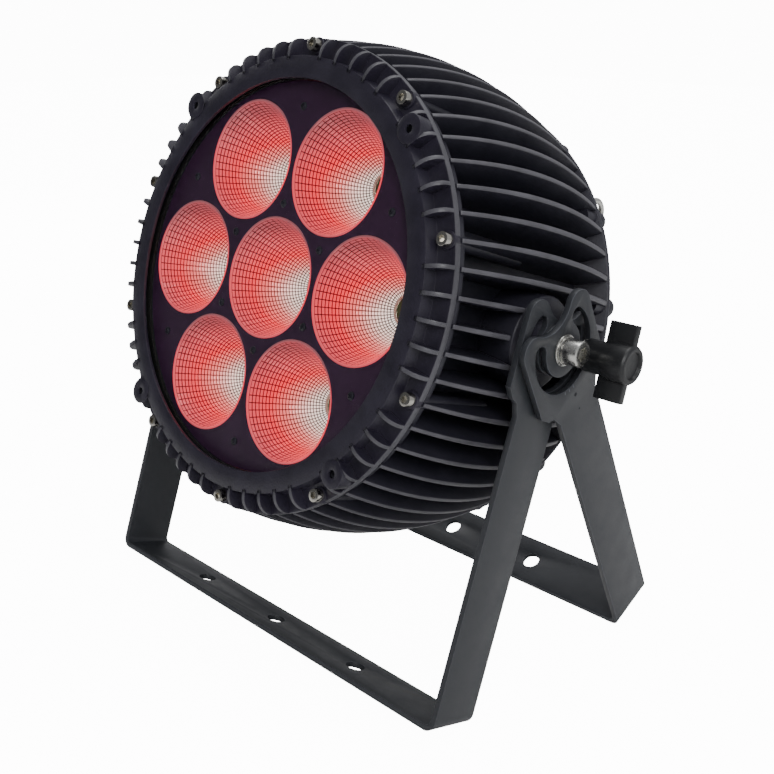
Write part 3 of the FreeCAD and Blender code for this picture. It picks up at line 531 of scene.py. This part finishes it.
def painted_lamp_glow(name, colour, rough, power):
    """A metallised face with the light of the lamp it stands round painted on as a glow: palest
    near the lamp, then red, then dusky. Each reflector has its own flat UV map with the lamp in the
    middle."""
    material, tree = start_finish(name)
    where = put(tree, "ShaderNodeTexCoord").outputs["UV"]
    # The painted glow: pale in the middle, then red, then dusky, by distance from a point a little
    # off the lamp's centre in the UV map
    where = put(tree, "ShaderNodeMapping", {"Vector": where, "Location": (-0.52, -0.572, 0),
                                            "Scale": (1, 1.3, 0)}).outputs[0]
    away = put(tree, "ShaderNodeVectorMath", {0: where}, operation="LENGTH").outputs["Value"]
    ramp = put(tree, "ShaderNodeValToRGB", {"Fac": away})
    fill_ramp(ramp, ((0.13, "#fff3ea"), (0.24, "#ffdccf"), (0.33, "#ff827a"),
                     (0.42, "#fa303c"), (0.52, "#cc444e"), (0.64, "#74444a")))
    shader = put(tree, "ShaderNodeBsdfPrincipled",
                 {"Base Color": (*linear(colour), 1), "Metallic": 1.0,
                  "Roughness": between(tree, grain(tree, 3.0), *rough),
                  "Emission Color": ramp.outputs[0], "Emission Strength": power})
    return close_finish(material, shader)


def metallised(name):
    # Vacuum-metallised polycarbonate: a near mirror, tinted pink, with the red light of the lamps
    # painted on as a glow, palest at the lamp, deep red across the middle of the wall and dusky
    # towards its ends. The pink tint is painted lamp light too.
    return painted_lamp_glow(name, "#8f6a6a", (0.16, 0.24), 1.8)


def reflector_groove_shade(name):
    # The grooves between the facets of the same moulding, coloured dark with only a faint glow:
    # painted shade where they face away from the lamp, outlining every facet
    return painted_lamp_glow(name, "#3a2426", (0.35, 0.5), 0.07)


def fill_ramp(ramp, stops):
    """Sets a colour ramp from (place, hex colour) stops."""
    elements = ramp.color_ramp.elements
    while len(elements) < len(stops):
        elements.new(0.5)
    for element, (place, code) in zip(elements, stops):
        element.position = place
        element.color = (*linear(code), 1)


def led_face(name):
    # Chip-on-board lamp behind a silicone dome: an even, white-hot disc
    material, tree = start_finish(name)
    cells = grain(tree, 1.5, 1.0)
    shader = put(tree, "ShaderNodeBsdfPrincipled",
                 {"Base Color": (*linear("#f2c8a0"), 1),
                  "Roughness": between(tree, cells, 0.4, 0.5),
                  "Emission Color": (*colours().glow, 1),
                  "Emission Strength": colours().glow_power})
    return close_finish(material, shader)


def window_acrylic(name):
    # Smoked acrylic over the display: deep gloss with hairline wear
    material, tree = start_finish(name)
    wear = between(tree, grain(tree, 0.5, 2.0, (0.2, 1, 1)), 0.04, 0.12)
    shader = put(tree, "ShaderNodeBsdfPrincipled",
                 {"Base Color": (*linear("#101418"), 1), "IOR": 1.49, "Roughness": wear,
                  "Coat Weight": 0.5, "Coat Roughness": 0.03})
    return close_finish(material, shader)


def pale_floor(name):
    # Matt white board with the faintest mottling
    material, tree = start_finish(name)
    shade = tinted(tree, grain(tree, 300.0, 2.0), linear("#f4f4f3"), 1.02)
    board = put(tree, "ShaderNodeBsdfPrincipled", {"Base Color": shade, "Roughness": 0.9})
    lit = put(tree, "ShaderNodeBsdfPrincipled",
              {"Base Color": shade, "Roughness": 0.9, "Emission Color": (1, 1, 1, 1),
               "Emission Strength": bpy.context.scene.par_stage.wall_light})
    seen = put(tree, "ShaderNodeLightPath").outputs["Is Camera Ray"]
    mix = put(tree, "ShaderNodeMixShader", {"Fac": seen})
    tree.links.new(board.outputs[0], mix.inputs[1])
    tree.links.new(lit.outputs[0], mix.inputs[2])
    return close_finish(material, mix)


FINISHES = {
    "powder_coat": powder_coat, "powder_wear_and_highlight": powder_wear_and_highlight, "cast_enamel": cast_enamel,
    "enamel_wear_and_highlight": enamel_wear_and_highlight, "bezel_enamel": bezel_enamel,
    "stainless_steel": stainless, "nickel_plate": nickel, "black_oxide": black_oxide,
    "zinc_plate": zinc, "aluminium_sheet": aluminium_sheet,
    "gold_contact": gold_contact, "silicone_rubber": rubber, "mask_print": mask_print,
    "glass_filled_nylon": nylon, "socket_plastic": socket_plastic, "abs_button": abs_button,
    "white_nylon": white_nylon, "circuit_board": circuit_board, "clear_glass": clear_glass,
    "reflector_painted_glow": metallised, "reflector_groove_shade": reflector_groove_shade,
    "led_face": led_face,
    "window_acrylic": window_acrylic, "pale_floor": pale_floor,
}


# Operators

class PAR_OT_stage(bpy.types.Operator):
    """Pale floor, soft lights, white room and the camera"""
    bl_idname = "par_light.stage"
    bl_label = "Stage"

    def execute(self, context):
        stage = context.scene.par_stage
        bm = bmesh.new()
        bmesh.ops.create_grid(bm, x_segments=8, y_segments=8, size=6.0)
        mesh = bpy.data.meshes.new("floor")
        bm.to_mesh(mesh)
        bm.free()
        mesh.materials.append(finish("pale_floor"))
        floor = bpy.data.objects.new("floor", mesh)
        context.scene.collection.objects.link(floor)

        world = bpy.data.worlds.new("white_room")
        world.use_nodes = True
        tree = world.node_tree
        tree.nodes.clear()
        seen = put(tree, "ShaderNodeLightPath").outputs["Is Camera Ray"]
        # A dark flag stands where the flat front would mirror the room
        way = put(tree, "ShaderNodeTexCoord").outputs["Generated"]
        flag = put(tree, "ShaderNodeVectorMath", {0: way, 1: MIRRORED_WAY},
                   operation="DOT_PRODUCT").outputs["Value"]
        dim = put(tree, "ShaderNodeMapRange",
                  {"Value": flag, "From Min": 0.3, "From Max": 0.9, "To Min": stage.world_light,
                   "To Max": stage.world_light * 0.25}).outputs[0]
        room = put(tree, "ShaderNodeBackground", {"Color": (0.95, 0.96, 1, 1), "Strength": dim})
        wall = put(tree, "ShaderNodeBackground", {"Color": (1, 1, 1, 1),
                                                  "Strength": stage.wall_light})
        mix = put(tree, "ShaderNodeMixShader", {"Fac": seen})
        tree.links.new(room.outputs[0], mix.inputs[1])
        tree.links.new(wall.outputs[0], mix.inputs[2])
        put(tree, "ShaderNodeOutputWorld", {"Surface": mix.outputs[0]})
        context.scene.world = world

        self.add_light("key", (1.5, -1.1, 1.5), 1.2, stage.key_light)
        self.add_light("top", (0.2, 0.5, 2.2), 1.4, stage.key_light * 0.7)
        self.add_light("left", (-1.9, 0.3, 0.9), 1.0, stage.key_light * 0.4)
        self.add_camera(context, stage.lens)
        return {"FINISHED"}

    def add_light(self, name, place, size, power):
        light = bpy.data.lights.new(name, "AREA")
        light.shape = "DISK"
        light.size = size
        light.energy = power
        lamp = bpy.data.objects.new(name, light)
        lamp.location = place
        aim = PIVOT * MM - Vector(place)
        lamp.rotation_euler = aim.to_track_quat("-Z", "Y").to_euler()
        bpy.context.scene.collection.objects.link(lamp)

    def add_camera(self, context, lens):
        data = bpy.data.cameras.new("camera")
        data.lens = lens
        data.sensor_width = 36.0
        data.shift_x, data.shift_y = CAMERA_SHIFT
        data.clip_start = 0.01
        data.clip_end = 50.0
        camera = bpy.data.objects.new("camera", data)
        right = CAMERA_RIGHT.normalized()
        back = right.cross(CAMERA_UP.normalized()).normalized()
        up = back.cross(right).normalized()
        turned = Matrix((right, up, back)).transposed().to_4x4()
        camera.matrix_world = Matrix.Translation(CAMERA_PLACE) @ turned
        context.scene.collection.objects.link(camera)
        context.scene.camera = camera


class PAR_OT_brackets(bpy.types.Operator):
    """Two folding brackets of flat bar with rounded edges and scale marks"""
    bl_idname = "par_light.brackets"
    bl_label = "Brackets"

    def execute(self, context):
        edge = context.scene.par_sizes.plate_edge / MM
        for name in ("outer_bracket", "inner_bracket"):
            bm = copy_of(name)
            # The rounded edges take the paler powder: a painted highlight, partly wear
            for face in round_edges(bm, edge, 2, 35.0):
                face.material_index = 1
            plate = keep(bm, f"{name}_plate", name, finish("powder_coat"),
                         TO_METRES, (name,), 40.0)
            plate.data.materials.append(finish("powder_wear_and_highlight"))
        self.scale_marks()
        return {"FINISHED"}

    def scale_marks(self):
        """Three ticks beside the slot and, down each outer leg, two dark discs: painted shade of
        the pointer holes.
        """
        ticks, hole_shades = bmesh.new(), bmesh.new()
        low, high = 183.1, 183.2
        for side in SIDES.values():
            face = turn(OUTER_LEAN, "X") @ turn(90 * side, "Y")
            add(ticks, block(1.8, 0.7, low, high),
                [face @ turn(-side * angle, "Z") @ shift(side * 30) for angle in (0, 8.5, 17)])
            # Dark discs standing a tenth of a millimetre proud: painted shade in place of the
            # pointer holes
            add(hole_shades, tube(0, 1.3, low, high, 24), [face @ shift(side * 36.9)])
            add(hole_shades, tube(0, 0.7, low, high, 24), [face @ shift(side * 49)])
        place = TO_METRES @ Matrix.Translation(PIVOT)
        keep(ticks, "scale_ticks", "outer_bracket", finish("powder_wear_and_highlight"), place)
        keep(hole_shades, "pointer_hole_shades", "outer_bracket", finish("black_oxide"),
             place)


class PAR_OT_housing(bpy.types.Operator):
    """Cast housing: drum, cooling fins and the round pads that the pivots stand on"""
    bl_idname = "par_light.housing"
    bl_label = "Housing"

    def execute(self, context):
        sizes = context.scene.par_sizes
        edge = sizes.cast_edge / MM
        enamel = finish("cast_enamel")

        drum = lathe([(0, 26), (136, 26), (136, -79), (163, -79), (163, -75.5), (140, -69.5),
                      (140, 66), (154, 70.5), (154, 75.5), (135.5, 75.5), (135.5, 82.5),
                      (129, 82.5), (129, 70), (136, 70), (136, 34), (0, 34)], 180)
        round_edges(drum, edge)
        boss = lathe([(0, 12), (3.2, 12), (4.4, 16), (4.4, 75.4), (0, 75.4)], 32)
        add(drum, boss, around(SCREWS, SCREW_FIRST, SCREW_CIRCLE))
        add(drum, tube(0, 6, -78.9, -64, 24), around(LUGS, LUG_FIRST, LUG_CIRCLE))
        keep(drum, "housing_drum", "head", enamel, stands_for=("housing",))

        fins = bmesh.new()
        add(fins, self.fin(sizes.fin_thickness / MM, sizes.fin_round / MM),
            around(round(360 / FIN_STEP), SCREW_FIRST))
        self.clear_pads(fins)
        fins = keep(fins, "cooling_fins", "head", enamel)
        # The paler enamel for the fin edges: painted highlight, partly wear
        fins.data.materials.append(finish("enamel_wear_and_highlight"))

        for name, side in SIDES.items():
            pad = tube(0, PAD_RADIUS, 133.5, 166, 96)
            round_edges(pad, 1.4, 3)
            keep(pad, f"pivot_pad_{name}", "head", enamel, side_place(side))
        return {"FINISHED"}

    def fin(self, thickness, rounding):
        """One fin: thinnest at the front of its edge, thickest at its root."""
        bm = bowed_plate((156.2, 75.3), (171.3, -5), (162.6, -75.6), 138, thickness, 40)
        round_edges(bm, rounding, 3, 30.0, lambda e: all(v.co.x > 139 for v in e.verts))
        for vert in bm.verts:
            vert.co.y *= 0.78 + 0.36 * min(1.0, (75.3 - vert.co.z) / 55)
            vert.co.y *= 1.0 + 0.3 * (165 - min(vert.co.x, 165.0)) / 27
        bm.normal_update()
        # Faces turned outwards take the paler enamel: a painted highlight along each fin's edge,
        # partly wear
        for face in bm.faces:
            face.material_index = int(face.normal.x > 0.55)
        return bm

    def clear_pads(self, bm):
        """Lowers the fins under the round pads."""
        floor = 161
        for vert in bm.verts:
            x, y, z = vert.co
            if abs(x) > floor and y * y + z * z < PAD_POCKET ** 2:
                vert.co.x = math.copysign(floor, x)
                vert.co.y *= floor / abs(x)


class PAR_OT_bezel(bpy.types.Operator):
    """Cast front ring with bowed ribs, screw seats and four round bosses"""
    bl_idname = "par_light.bezel"
    bl_label = "Bezel"

    def execute(self, context):
        sizes = context.scene.par_sizes
        edge = sizes.cast_edge / MM
        ring = lathe([(128, 91), (142, 91), (143, 82), (154.6, 81), (155.7, 81),
                      (155.7, 76.5), (136, 76.5), (136, 88.5), (128, 88.5)], 240)
        round_edges(ring, edge * 0.7, 2, 12.0)
        # The rim band takes the paler enamel: a painted highlight, partly wear
        for face in ring.faces:
            face.material_index = int(face.calc_center_median().xy.length > 155.0)
        wells = bmesh.new()
        add(wells, tube(0, 5.6, 82.5, 95, 32), around(SCREWS, SCREW_FIRST, SCREW_CIRCLE))
        ring = carve(ring, wells)
        seat = tube(0, 5.6, 77, 82.5, 32)
        round_edges(seat, 0.4)
        add(ring, seat, around(SCREWS, SCREW_FIRST, SCREW_CIRCLE))

        rib = bowed_plate((142, 91), (151.5, 89.2), (155.7, 81), 140, sizes.bezel_rib / MM, 14)
        round_edges(rib, 0.7, 2, 30.0, lambda e: all(v.co.x > 141 for v in e.verts))
        # The edges of each rib take the paler enamel: a painted highlight along the rib crest,
        # partly wear
        for face in rib.faces:
            face.material_index = int(abs(face.normal.y) < 0.8)
        add(ring, rib, [turn(SCREW_FIRST + 360 / SCREWS * k + FIN_STEP * i, "Z")
                        for k in range(SCREWS) for i in range(1, RIBS_BETWEEN_SCREWS + 1)])
        boss = lathe([(0, 77), (9, 77), (9, 91.6), (2.6, 91.6), (2.6, 90), (0, 90)], 56)
        round_edges(boss, 0.5)
        bosses = around(ACCESSORIES, ACCESSORY_FIRST, ACCESSORY_CIRCLE)
        add(ring, boss, bosses)
        ring = keep(ring, "front_ring", "head", finish("bezel_enamel"),
                    stands_for=("front_bezel",))
        # The paler enamel of the rim band and rib edges: painted highlight, partly wear
        ring.data.materials.append(finish("enamel_wear_and_highlight"))

        pins = bmesh.new()
        pin = tube(0, 2.5, 81, 90.6, 32)
        round_edges(pin, 0.6)
        add(pins, pin, bosses)
        keep(pins, "accessory_pin_heads", "head", finish("black_oxide"),
             stands_for=("accessory_pins",))
        return {"FINISHED"}


def cap_screw(head, seat, top, thread, tip, key, key_depth):
    """A socket cap screw on its own Z axis."""
    bm = lathe([(0, tip), (thread / 2 - 0.6, tip), (thread / 2, tip + 0.6), (thread / 2, seat),
                (head / 2, seat), (head / 2, top), (0, top)], 48)
    round_edges(bm, head * 0.05, 2, 50.0, lambda e: min(v.co.z for v in e.verts) > top - 0.01)
    socket = bmesh.new()
    bmesh.ops.create_cone(socket, cap_ends=True, segments=6,
                          radius1=key / 2 / math.cos(math.pi / 6),
                          radius2=key / 2 / math.cos(math.pi / 6) + 0.02, depth=key_depth * 2,
                          matrix=shift(z=top))
    return carve(bm, socket)


class PAR_OT_front_screws(bpy.types.Operator):
    """Socket cap screws round the front ring"""
    bl_idname = "par_light.front_screws"
    bl_label = "Front screws"

    def execute(self, context):
        screws = bmesh.new()
        screw = cap_screw(head=8.5, seat=82.5, top=87.5, thread=5, tip=62, key=4, key_depth=3)
        add(screws, screw, around(SCREWS, SCREW_FIRST, SCREW_CIRCLE))
        keep(screws, "bezel_cap_screws", "head", finish("nickel_plate"),
             stands_for=("bezel_screws",))
        return {"FINISHED"}


class PAR_OT_optics(bpy.types.Operator):
    """Seven faceted reflectors with their lamps, the mask plate, its screws and the glass"""
    bl_idname = "par_light.optics"
    bl_label = "Optics"

    def execute(self, context):
        sizes = context.scene.par_sizes
        for name, (x, y) in LAMPS.items():
            cup = keep(self.reflector(sizes), f"reflector_cup_{name}", "head",
                       finish("reflector_painted_glow"), HEAD @ shift(x, y),
                       (f"reflector_{name}",), 20.0)
            cup.data.materials.append(finish("reflector_groove_shade"))
            face = lathe([(0, 35.6), (9, 35.6), (9, 36.3), (7, 36.6), (4, 36.75), (0, 36.8)], 40)
            keep(face, f"lamp_face_{name}", "head", finish("led_face"),
                 HEAD @ shift(x, y))
        self.mask_screws()
        for node, name in (("mask_plate", "mask_print"), ("front_glass", "clear_glass"),
                           ("glass_seal", "silicone_rubber"), ("led_holders", "white_nylon")):
            paint(node, name)
        for name in LAMPS:
            paint(f"led_module_{name}", "circuit_board")
        return {"FINISHED"}

    def reflector(self, sizes):
        """A bowl of small pillowed facets with a plain lip; the facets and lip take the painted
        glow and the grooves the painted shade.
        """
        base, rim = (10.5, 38.0), (39.2, 82.8)
        rings = sizes.rings
        wall = []
        for k in range(rings + 1):
            part = k / rings
            height = base[1] + (rim[1] - 1.0 - base[1]) * part ** 1.25
            share = (height - base[1]) / (rim[1] - base[1])
            wall.append((base[0] + (rim[0] - base[0]) * share ** 0.62, height))
        bm = bmesh.new()
        line = [bm.verts.new((radius, 0, height)) for radius, height in wall]
        edges = [bm.edges.new(pair) for pair in zip(line, line[1:])]
        bmesh.ops.spin(bm, geom=line + edges, cent=(0, 0, 0), axis=(0, 0, 1),
                       angle=math.tau, steps=sizes.flutes, use_merge=True)
        bmesh.ops.recalc_face_normals(bm, faces=bm.faces)
        inward = bm.faces[:]
        if inward[0].normal.dot(inward[0].calc_center_median() * Vector((1, 1, 0))) > 0:
            bmesh.ops.reverse_faces(bm, faces=inward)
        grooves = bmesh.ops.inset_individual(bm, faces=inward, use_even_offset=True,
                                             thickness=sizes.facet_groove / MM)["faces"]
        # The grooves between facets take the dark groove finish: painted shade
        for face in grooves:
            face.material_index = 1
        bmesh.ops.poke(bm, faces=inward, offset=sizes.facet_rise / MM, center_mode="MEAN")
        back = [(radius + 1.2, height) for radius, height in wall[::-4]]
        lip = lathe([wall[-1], rim, (rim[0] + 1, rim[1]), *back, wall[0]], 96)
        spans = [f for f in lip.faces if max(e.calc_length() for e in f.edges) > 30]
        bmesh.ops.delete(lip, geom=spans, context="FACES_ONLY")
        add(bm, lip)
        # A flat UV map that places the painted glow round the lamp
        flat = bm.loops.layers.uv.new("UVMap")
        for face in bm.faces:
            for loop in face.loops:
                loop[flat].uv = (0.5 + loop.vert.co.x / 80, 0.5 + loop.vert.co.y / 80)
        return bm

    def mask_screws(self):
        screws, places = bmesh.new(), []
        head = lathe([(0, 82.7), (2.75, 82.7), (2.6, 83.4), (1.9, 83.85), (0, 84)], 24)
        head = carve(carve(head, block(2.8, 0.7, 83.4, 84.5)), block(0.7, 2.8, 83.4, 84.5))
        for circle in MASK_SCREW_CIRCLES:
            places += around(6, 30, circle)
        add(screws, head, places)
        keep(screws, "mask_pan_screws", "head", finish("cast_enamel"),
             stands_for=("mask_screws",))


def paint(node, name):
    """Gives a CAD node that still shows its finish."""
    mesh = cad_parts[node].data
    mesh.materials.clear()
    mesh.materials.append(finish(name))


class PAR_OT_rear_cover(bpy.types.Operator):
    """Cast rear cover with lugs and screws"""
    bl_idname = "par_light.rear_cover"
    bl_label = "Rear cover"

    def execute(self, context):
        edge = context.scene.par_sizes.cast_edge / MM
        cover = lathe([(0, -90), (122, -90), (122, -80), (157, -80), (157, -84), (126, -84),
                       (125, -93), (0, -93)], 180)
        round_edges(cover, edge)
        holes = block(56, 20, -95, -88)
        bmesh.ops.translate(holes, verts=holes.verts, vec=(0, WINDOW_Y, 0))
        for x in BUTTONS.values():
            add(holes, tube(0, 5.0, -95, -88, 32), [shift(x, BUTTON_Y)])
        for x, y in SOCKETS.values():
            add(holes, tube(0, 12.0, -95, -88, 48), [shift(x, y)])
        cover = carve(cover, holes)
        lug = tube(0, 7, -86, -80, 40)
        round_edges(lug, 1.0, 3)
        lugs = around(LUGS, LUG_FIRST, LUG_CIRCLE)
        add(cover, lug, lugs)
        keep(cover, "rear_cover_shell", "head", finish("cast_enamel"),
             stands_for=("rear_cover",))

        screws = bmesh.new()
        screw = cap_screw(head=9, seat=86, top=88.8, thread=5, tip=70, key=4, key_depth=1.8)
        add(screws, screw, [place @ turn(180, "X") for place in lugs])
        keep(screws, "rear_cap_screws", "head", finish("stainless_steel"),
             stands_for=("rear_screws",))
        return {"FINISHED"}


class PAR_OT_panel(bpy.types.Operator):
    """Display, buttons, sockets and vent on the rear cover"""
    bl_idname = "par_light.panel"
    bl_label = "Control panel"

    def execute(self, context):
        window = block(64, 28, -94.5, -93)
        round_edges(window, 0.5)
        keep(window, "display_cover", "head", finish("window_acrylic"),
             HEAD @ shift(0, WINDOW_Y), ("display_window",))
        for name, x in BUTTONS.items():
            button = lathe([(0, -95.4), (3.4, -95.2), (4.6, -94.7), (4.9, -94.1), (4.9, -89.9),
                            (6.4, -89.9), (6.4, -87.9), (4.9, -87.9), (4.9, -85.9), (0, -85.9)], 40)
            keep(button, f"push_{name}", f"button_{name}", finish("abs_button"),
                 HEAD @ shift(x, BUTTON_Y), (f"button_{name}",))
        for name, (x, y) in SOCKETS.items():
            self.socket(name, HEAD @ shift(x, y))
        vent = lathe([(0, -97.6), (3, -98), (7, -98), (8, -97.2), (8, -93), (6, -93), (6, -86),
                      (0, -86)], 48)
        slots = bmesh.new()
        add(slots, block(5, 1.0, -99, -96.4), [turn(60 * k, "Z") @ shift(6.5) for k in range(6)])
        keep(carve(vent, slots), "vent_cap", "head", finish("socket_plastic"),
             HEAD @ shift(0, VENT_Y), ("vent_valve",))
        return {"FINISHED"}

    def socket(self, name, place):
        shell = lathe([(0, -80), (9.5, -80), (9.5, -95.4), (10.4, -96), (14.7, -96),
                       (15.5, -95.2), (15.5, -93), (12, -93), (12, -70), (0, -70)], 64)
        notches = bmesh.new()
        add(notches, block(3.2, 2.6, -97, -84), [turn(120 * k + 30, "Z") @ shift(10)
                                                 for k in range(3)])
        keep(carve(shell, notches), f"{name}_shell", "head", finish("socket_plastic"),
             place, (name,))
        pins = bmesh.new()
        if name.endswith("inlet"):
            pin = lathe([(0, -87), (0.8, -87), (1.2, -86.4), (1.2, -79.5), (0, -79.5)], 20)
        else:
            pin = lathe([(0.8, -80.6), (1.5, -80.6), (1.5, -79), (0.8, -79)], 20)
        add(pins, pin, around(3, 90, 5.0))
        keep(pins, f"{name}_contacts", "head", finish("gold_contact"), place)


class PAR_OT_safety_eye(bpy.types.Operator):
    """Stainless ring on a collar for the safety wire"""
    bl_idname = "par_light.safety_eye"
    bl_label = "Safety eye"

    def execute(self, context):
        ring = bmesh.new()
        bmesh.ops.create_circle(ring, segments=20, radius=2.0,
                                matrix=shift(9.0) @ turn(90, "X"))
        bmesh.ops.spin(ring, geom=ring.verts[:] + ring.edges[:], cent=(0, 0, 0),
                       axis=(0, 0, 1), angle=math.tau, steps=64, use_merge=True)
        bmesh.ops.remove_doubles(ring, verts=ring.verts, dist=1e-4)
        bmesh.ops.recalc_face_normals(ring, faces=ring.faces)
        eye = bmesh.new()
        add(eye, ring, [shift(z=-96) @ turn(90, "Y")])
        collar = lathe([(0, -86.5), (4.4, -86.5), (5, -85.9), (5, -84), (2.5, -84), (2.5, -79),
                        (0, -79)], 40)
        add(eye, collar)
        x, y = EYE_CIRCLE * math.cos(EYE_ANGLE), EYE_CIRCLE * math.sin(EYE_ANGLE)
        keep(eye, "safety_ring", "head", finish("stainless_steel"),
             HEAD @ shift(x, y), ("safety_eye",))
        return {"FINISHED"}


class PAR_OT_pivots(bpy.types.Operator):
    """Pivot bolts, washers and spacers on both sides"""
    bl_idname = "par_light.pivots"
    bl_label = "Pivots"

    def execute(self, context):
        both = [turn(90 * side, "Y") for side in SIDES.values()]
        behind = [shift(z=-STUD_BACK) @ place for place in both]
        steel = finish("stainless_steel")
        bolt = cap_screw(head=16, seat=187, top=197, thread=10, tip=141, key=8, key_depth=5)
        self.pair("pivot_cap_bolts", bolt, both, "head", steel, "stainless", "pivot_bolts")
        for name, radius, start, end, body, metal_name, slot, places in (
                ("hub_spacers", 15.5, 166, 172.65, "head", "cast_enamel", "stainless", both),
                ("plate_washers", 15, 176.7, 179.1, "inner_bracket", "zinc_plate", "washer", both),
                ("flat_washers", 10, 183.2, 184.8, "head", "stainless_steel", "stainless", both)):
            washer = tube(5.1, radius, start, end, 64)
            round_edges(washer, 0.35)
            self.pair(f"{name}_turned", washer, places, body, finish(metal_name), slot, name)
        spring = bmesh.new()
        corners = [(5.3, 184.85), (8.6, 184.85), (8.6, 186.5), (5.3, 186.5)]
        face = spring.faces.new([spring.verts.new((x, 0, z)) for x, z in corners])
        bmesh.ops.spin(spring, geom=[face], cent=(0, 0, 0), axis=(0, 0, 1),
                       dvec=(0, 0, 0.45 / 48), angle=math.radians(352), steps=48)
        bmesh.ops.recalc_face_normals(spring, faces=spring.faces)
        self.pair("split_washers", spring, both, "head", steel, "stainless", "spring_washers")
        washer = tube(4.1, 9.5, 183.2, 184.8, 64)
        round_edges(washer, 0.35)
        self.pair("clamp_washers", washer, behind, "head", steel, "stainless", "knob_washers")
        return {"FINISHED"}

    def pair(self, name, shape, places, body, look, slot, node):
        bm = bmesh.new()
        add(bm, shape, places)
        keep(bm, name, body, look, stands_for=(node,))


class PAR_OT_knobs(bpy.types.Operator):
    """Wing knobs and their threaded studs"""
    bl_idname = "par_light.knobs"
    bl_label = "Clamp knobs"

    def execute(self, context):
        for name, side in SIDES.items():
            lean = side * (180 + HEAD_TILT - KNOB_LEAN)
            keep(self.knob(), f"wing_knob_{name}", f"knob_{name}",
                 finish("glass_filled_nylon"), side_place(side, STUD_BACK, lean),
                 (f"knob_{name}",))
            stud = lathe([(0, 142), (3.4, 142), (4, 142.6), (4, 206), (0, 206)], 32)
            keep(stud, f"threaded_stud_{name}", f"stud_{name}", finish("stainless_steel"),
                 side_place(side, STUD_BACK), (f"knob_stud_{name}",))
        return {"FINISHED"}

    def knob(self):
        hub = lathe([(4.05, 185), (9.4, 185), (10.5, 187), (10.5, 200), (12.5, 206.5),
                     (12.5, 217.6), (11.2, 219.4), (8.6, 219.4), (8.2, 217.6), (0, 217.6),
                     (0, 206.1), (4.05, 206.1)], 56)
        round_edges(hub, 0.5, 2, 25.0)
        wing = slab([(-24.3, 198.4), (24.3, 198.4), (24.3, 217.4), (-24.3, 217.4)], -3.8, 3.8)
        bmesh.ops.transform(wing, verts=wing.verts,
                            matrix=turn(90, "Z") @ turn(90, "X"))
        for vert in wing.verts:
            vert.co.x *= 1.0 - 0.25 * abs(vert.co.y) / 24.3
        round_edges(wing, 0.6, 2, 20.0)
        add(hub, wing)
        return hub


class PAR_OT_inside(bpy.types.Operator):
    """Finishes of the sealed pieces that keep their CAD shape"""
    bl_idname = "par_light.inside"
    bl_label = "Inside"

    def execute(self, context):
        for name, nodes in {
                "silicone_rubber": ("bezel_seal", "rear_seal"),
                "circuit_board": ("driver_board", "panel_board"),
                "aluminium_sheet": ("power_supply", "mask_pillars"),
                "zinc_plate": ("driver_board_posts", "power_supply_posts")}.items():
            for node in nodes:
                paint(node, name)
        return {"FINISHED"}


OPERATORS = (
    PAR_OT_stage, PAR_OT_brackets, PAR_OT_housing, PAR_OT_bezel, PAR_OT_front_screws,
    PAR_OT_optics, PAR_OT_rear_cover, PAR_OT_panel, PAR_OT_safety_eye, PAR_OT_pivots,
    PAR_OT_knobs, PAR_OT_inside,
)


class PAR_PT_sidebar(bpy.types.Panel):
    """Sizes, colours and pieces of the par can light"""
    bl_idname = "PAR_PT_sidebar"
    bl_label = "Par Can Light"
    bl_space_type = "VIEW_3D"
    bl_region_type = "UI"
    bl_category = "Par Light"

    def draw(self, context):
        scene = context.scene
        for group in (scene.par_sizes, scene.par_colours, scene.par_stage):
            box = self.layout.box()
            for name in group.__annotations__:
                box.prop(group, name)
        for operator in OPERATORS:
            self.layout.operator(operator.bl_idname)


GROUPS = {"par_sizes": ParSizes, "par_colours": ParColours, "par_stage": ParStage}


def register():
    for group in GROUPS.values():
        bpy.utils.register_class(group)
    for name, group in GROUPS.items():
        setattr(bpy.types.Scene, name, PointerProperty(type=group))
    for item in (*OPERATORS, PAR_PT_sidebar):
        bpy.utils.register_class(item)


def unregister():
    for item in (PAR_PT_sidebar, *reversed(OPERATORS)):
        bpy.utils.unregister_class(item)
    for name, group in GROUPS.items():
        delattr(bpy.types.Scene, name)
        bpy.utils.unregister_class(group)


def main():
    register()
    for operator in OPERATORS:
        group, name = operator.bl_idname.split(".")
        getattr(getattr(bpy.ops, group), name)()


if __name__ == "__main__":
    main()
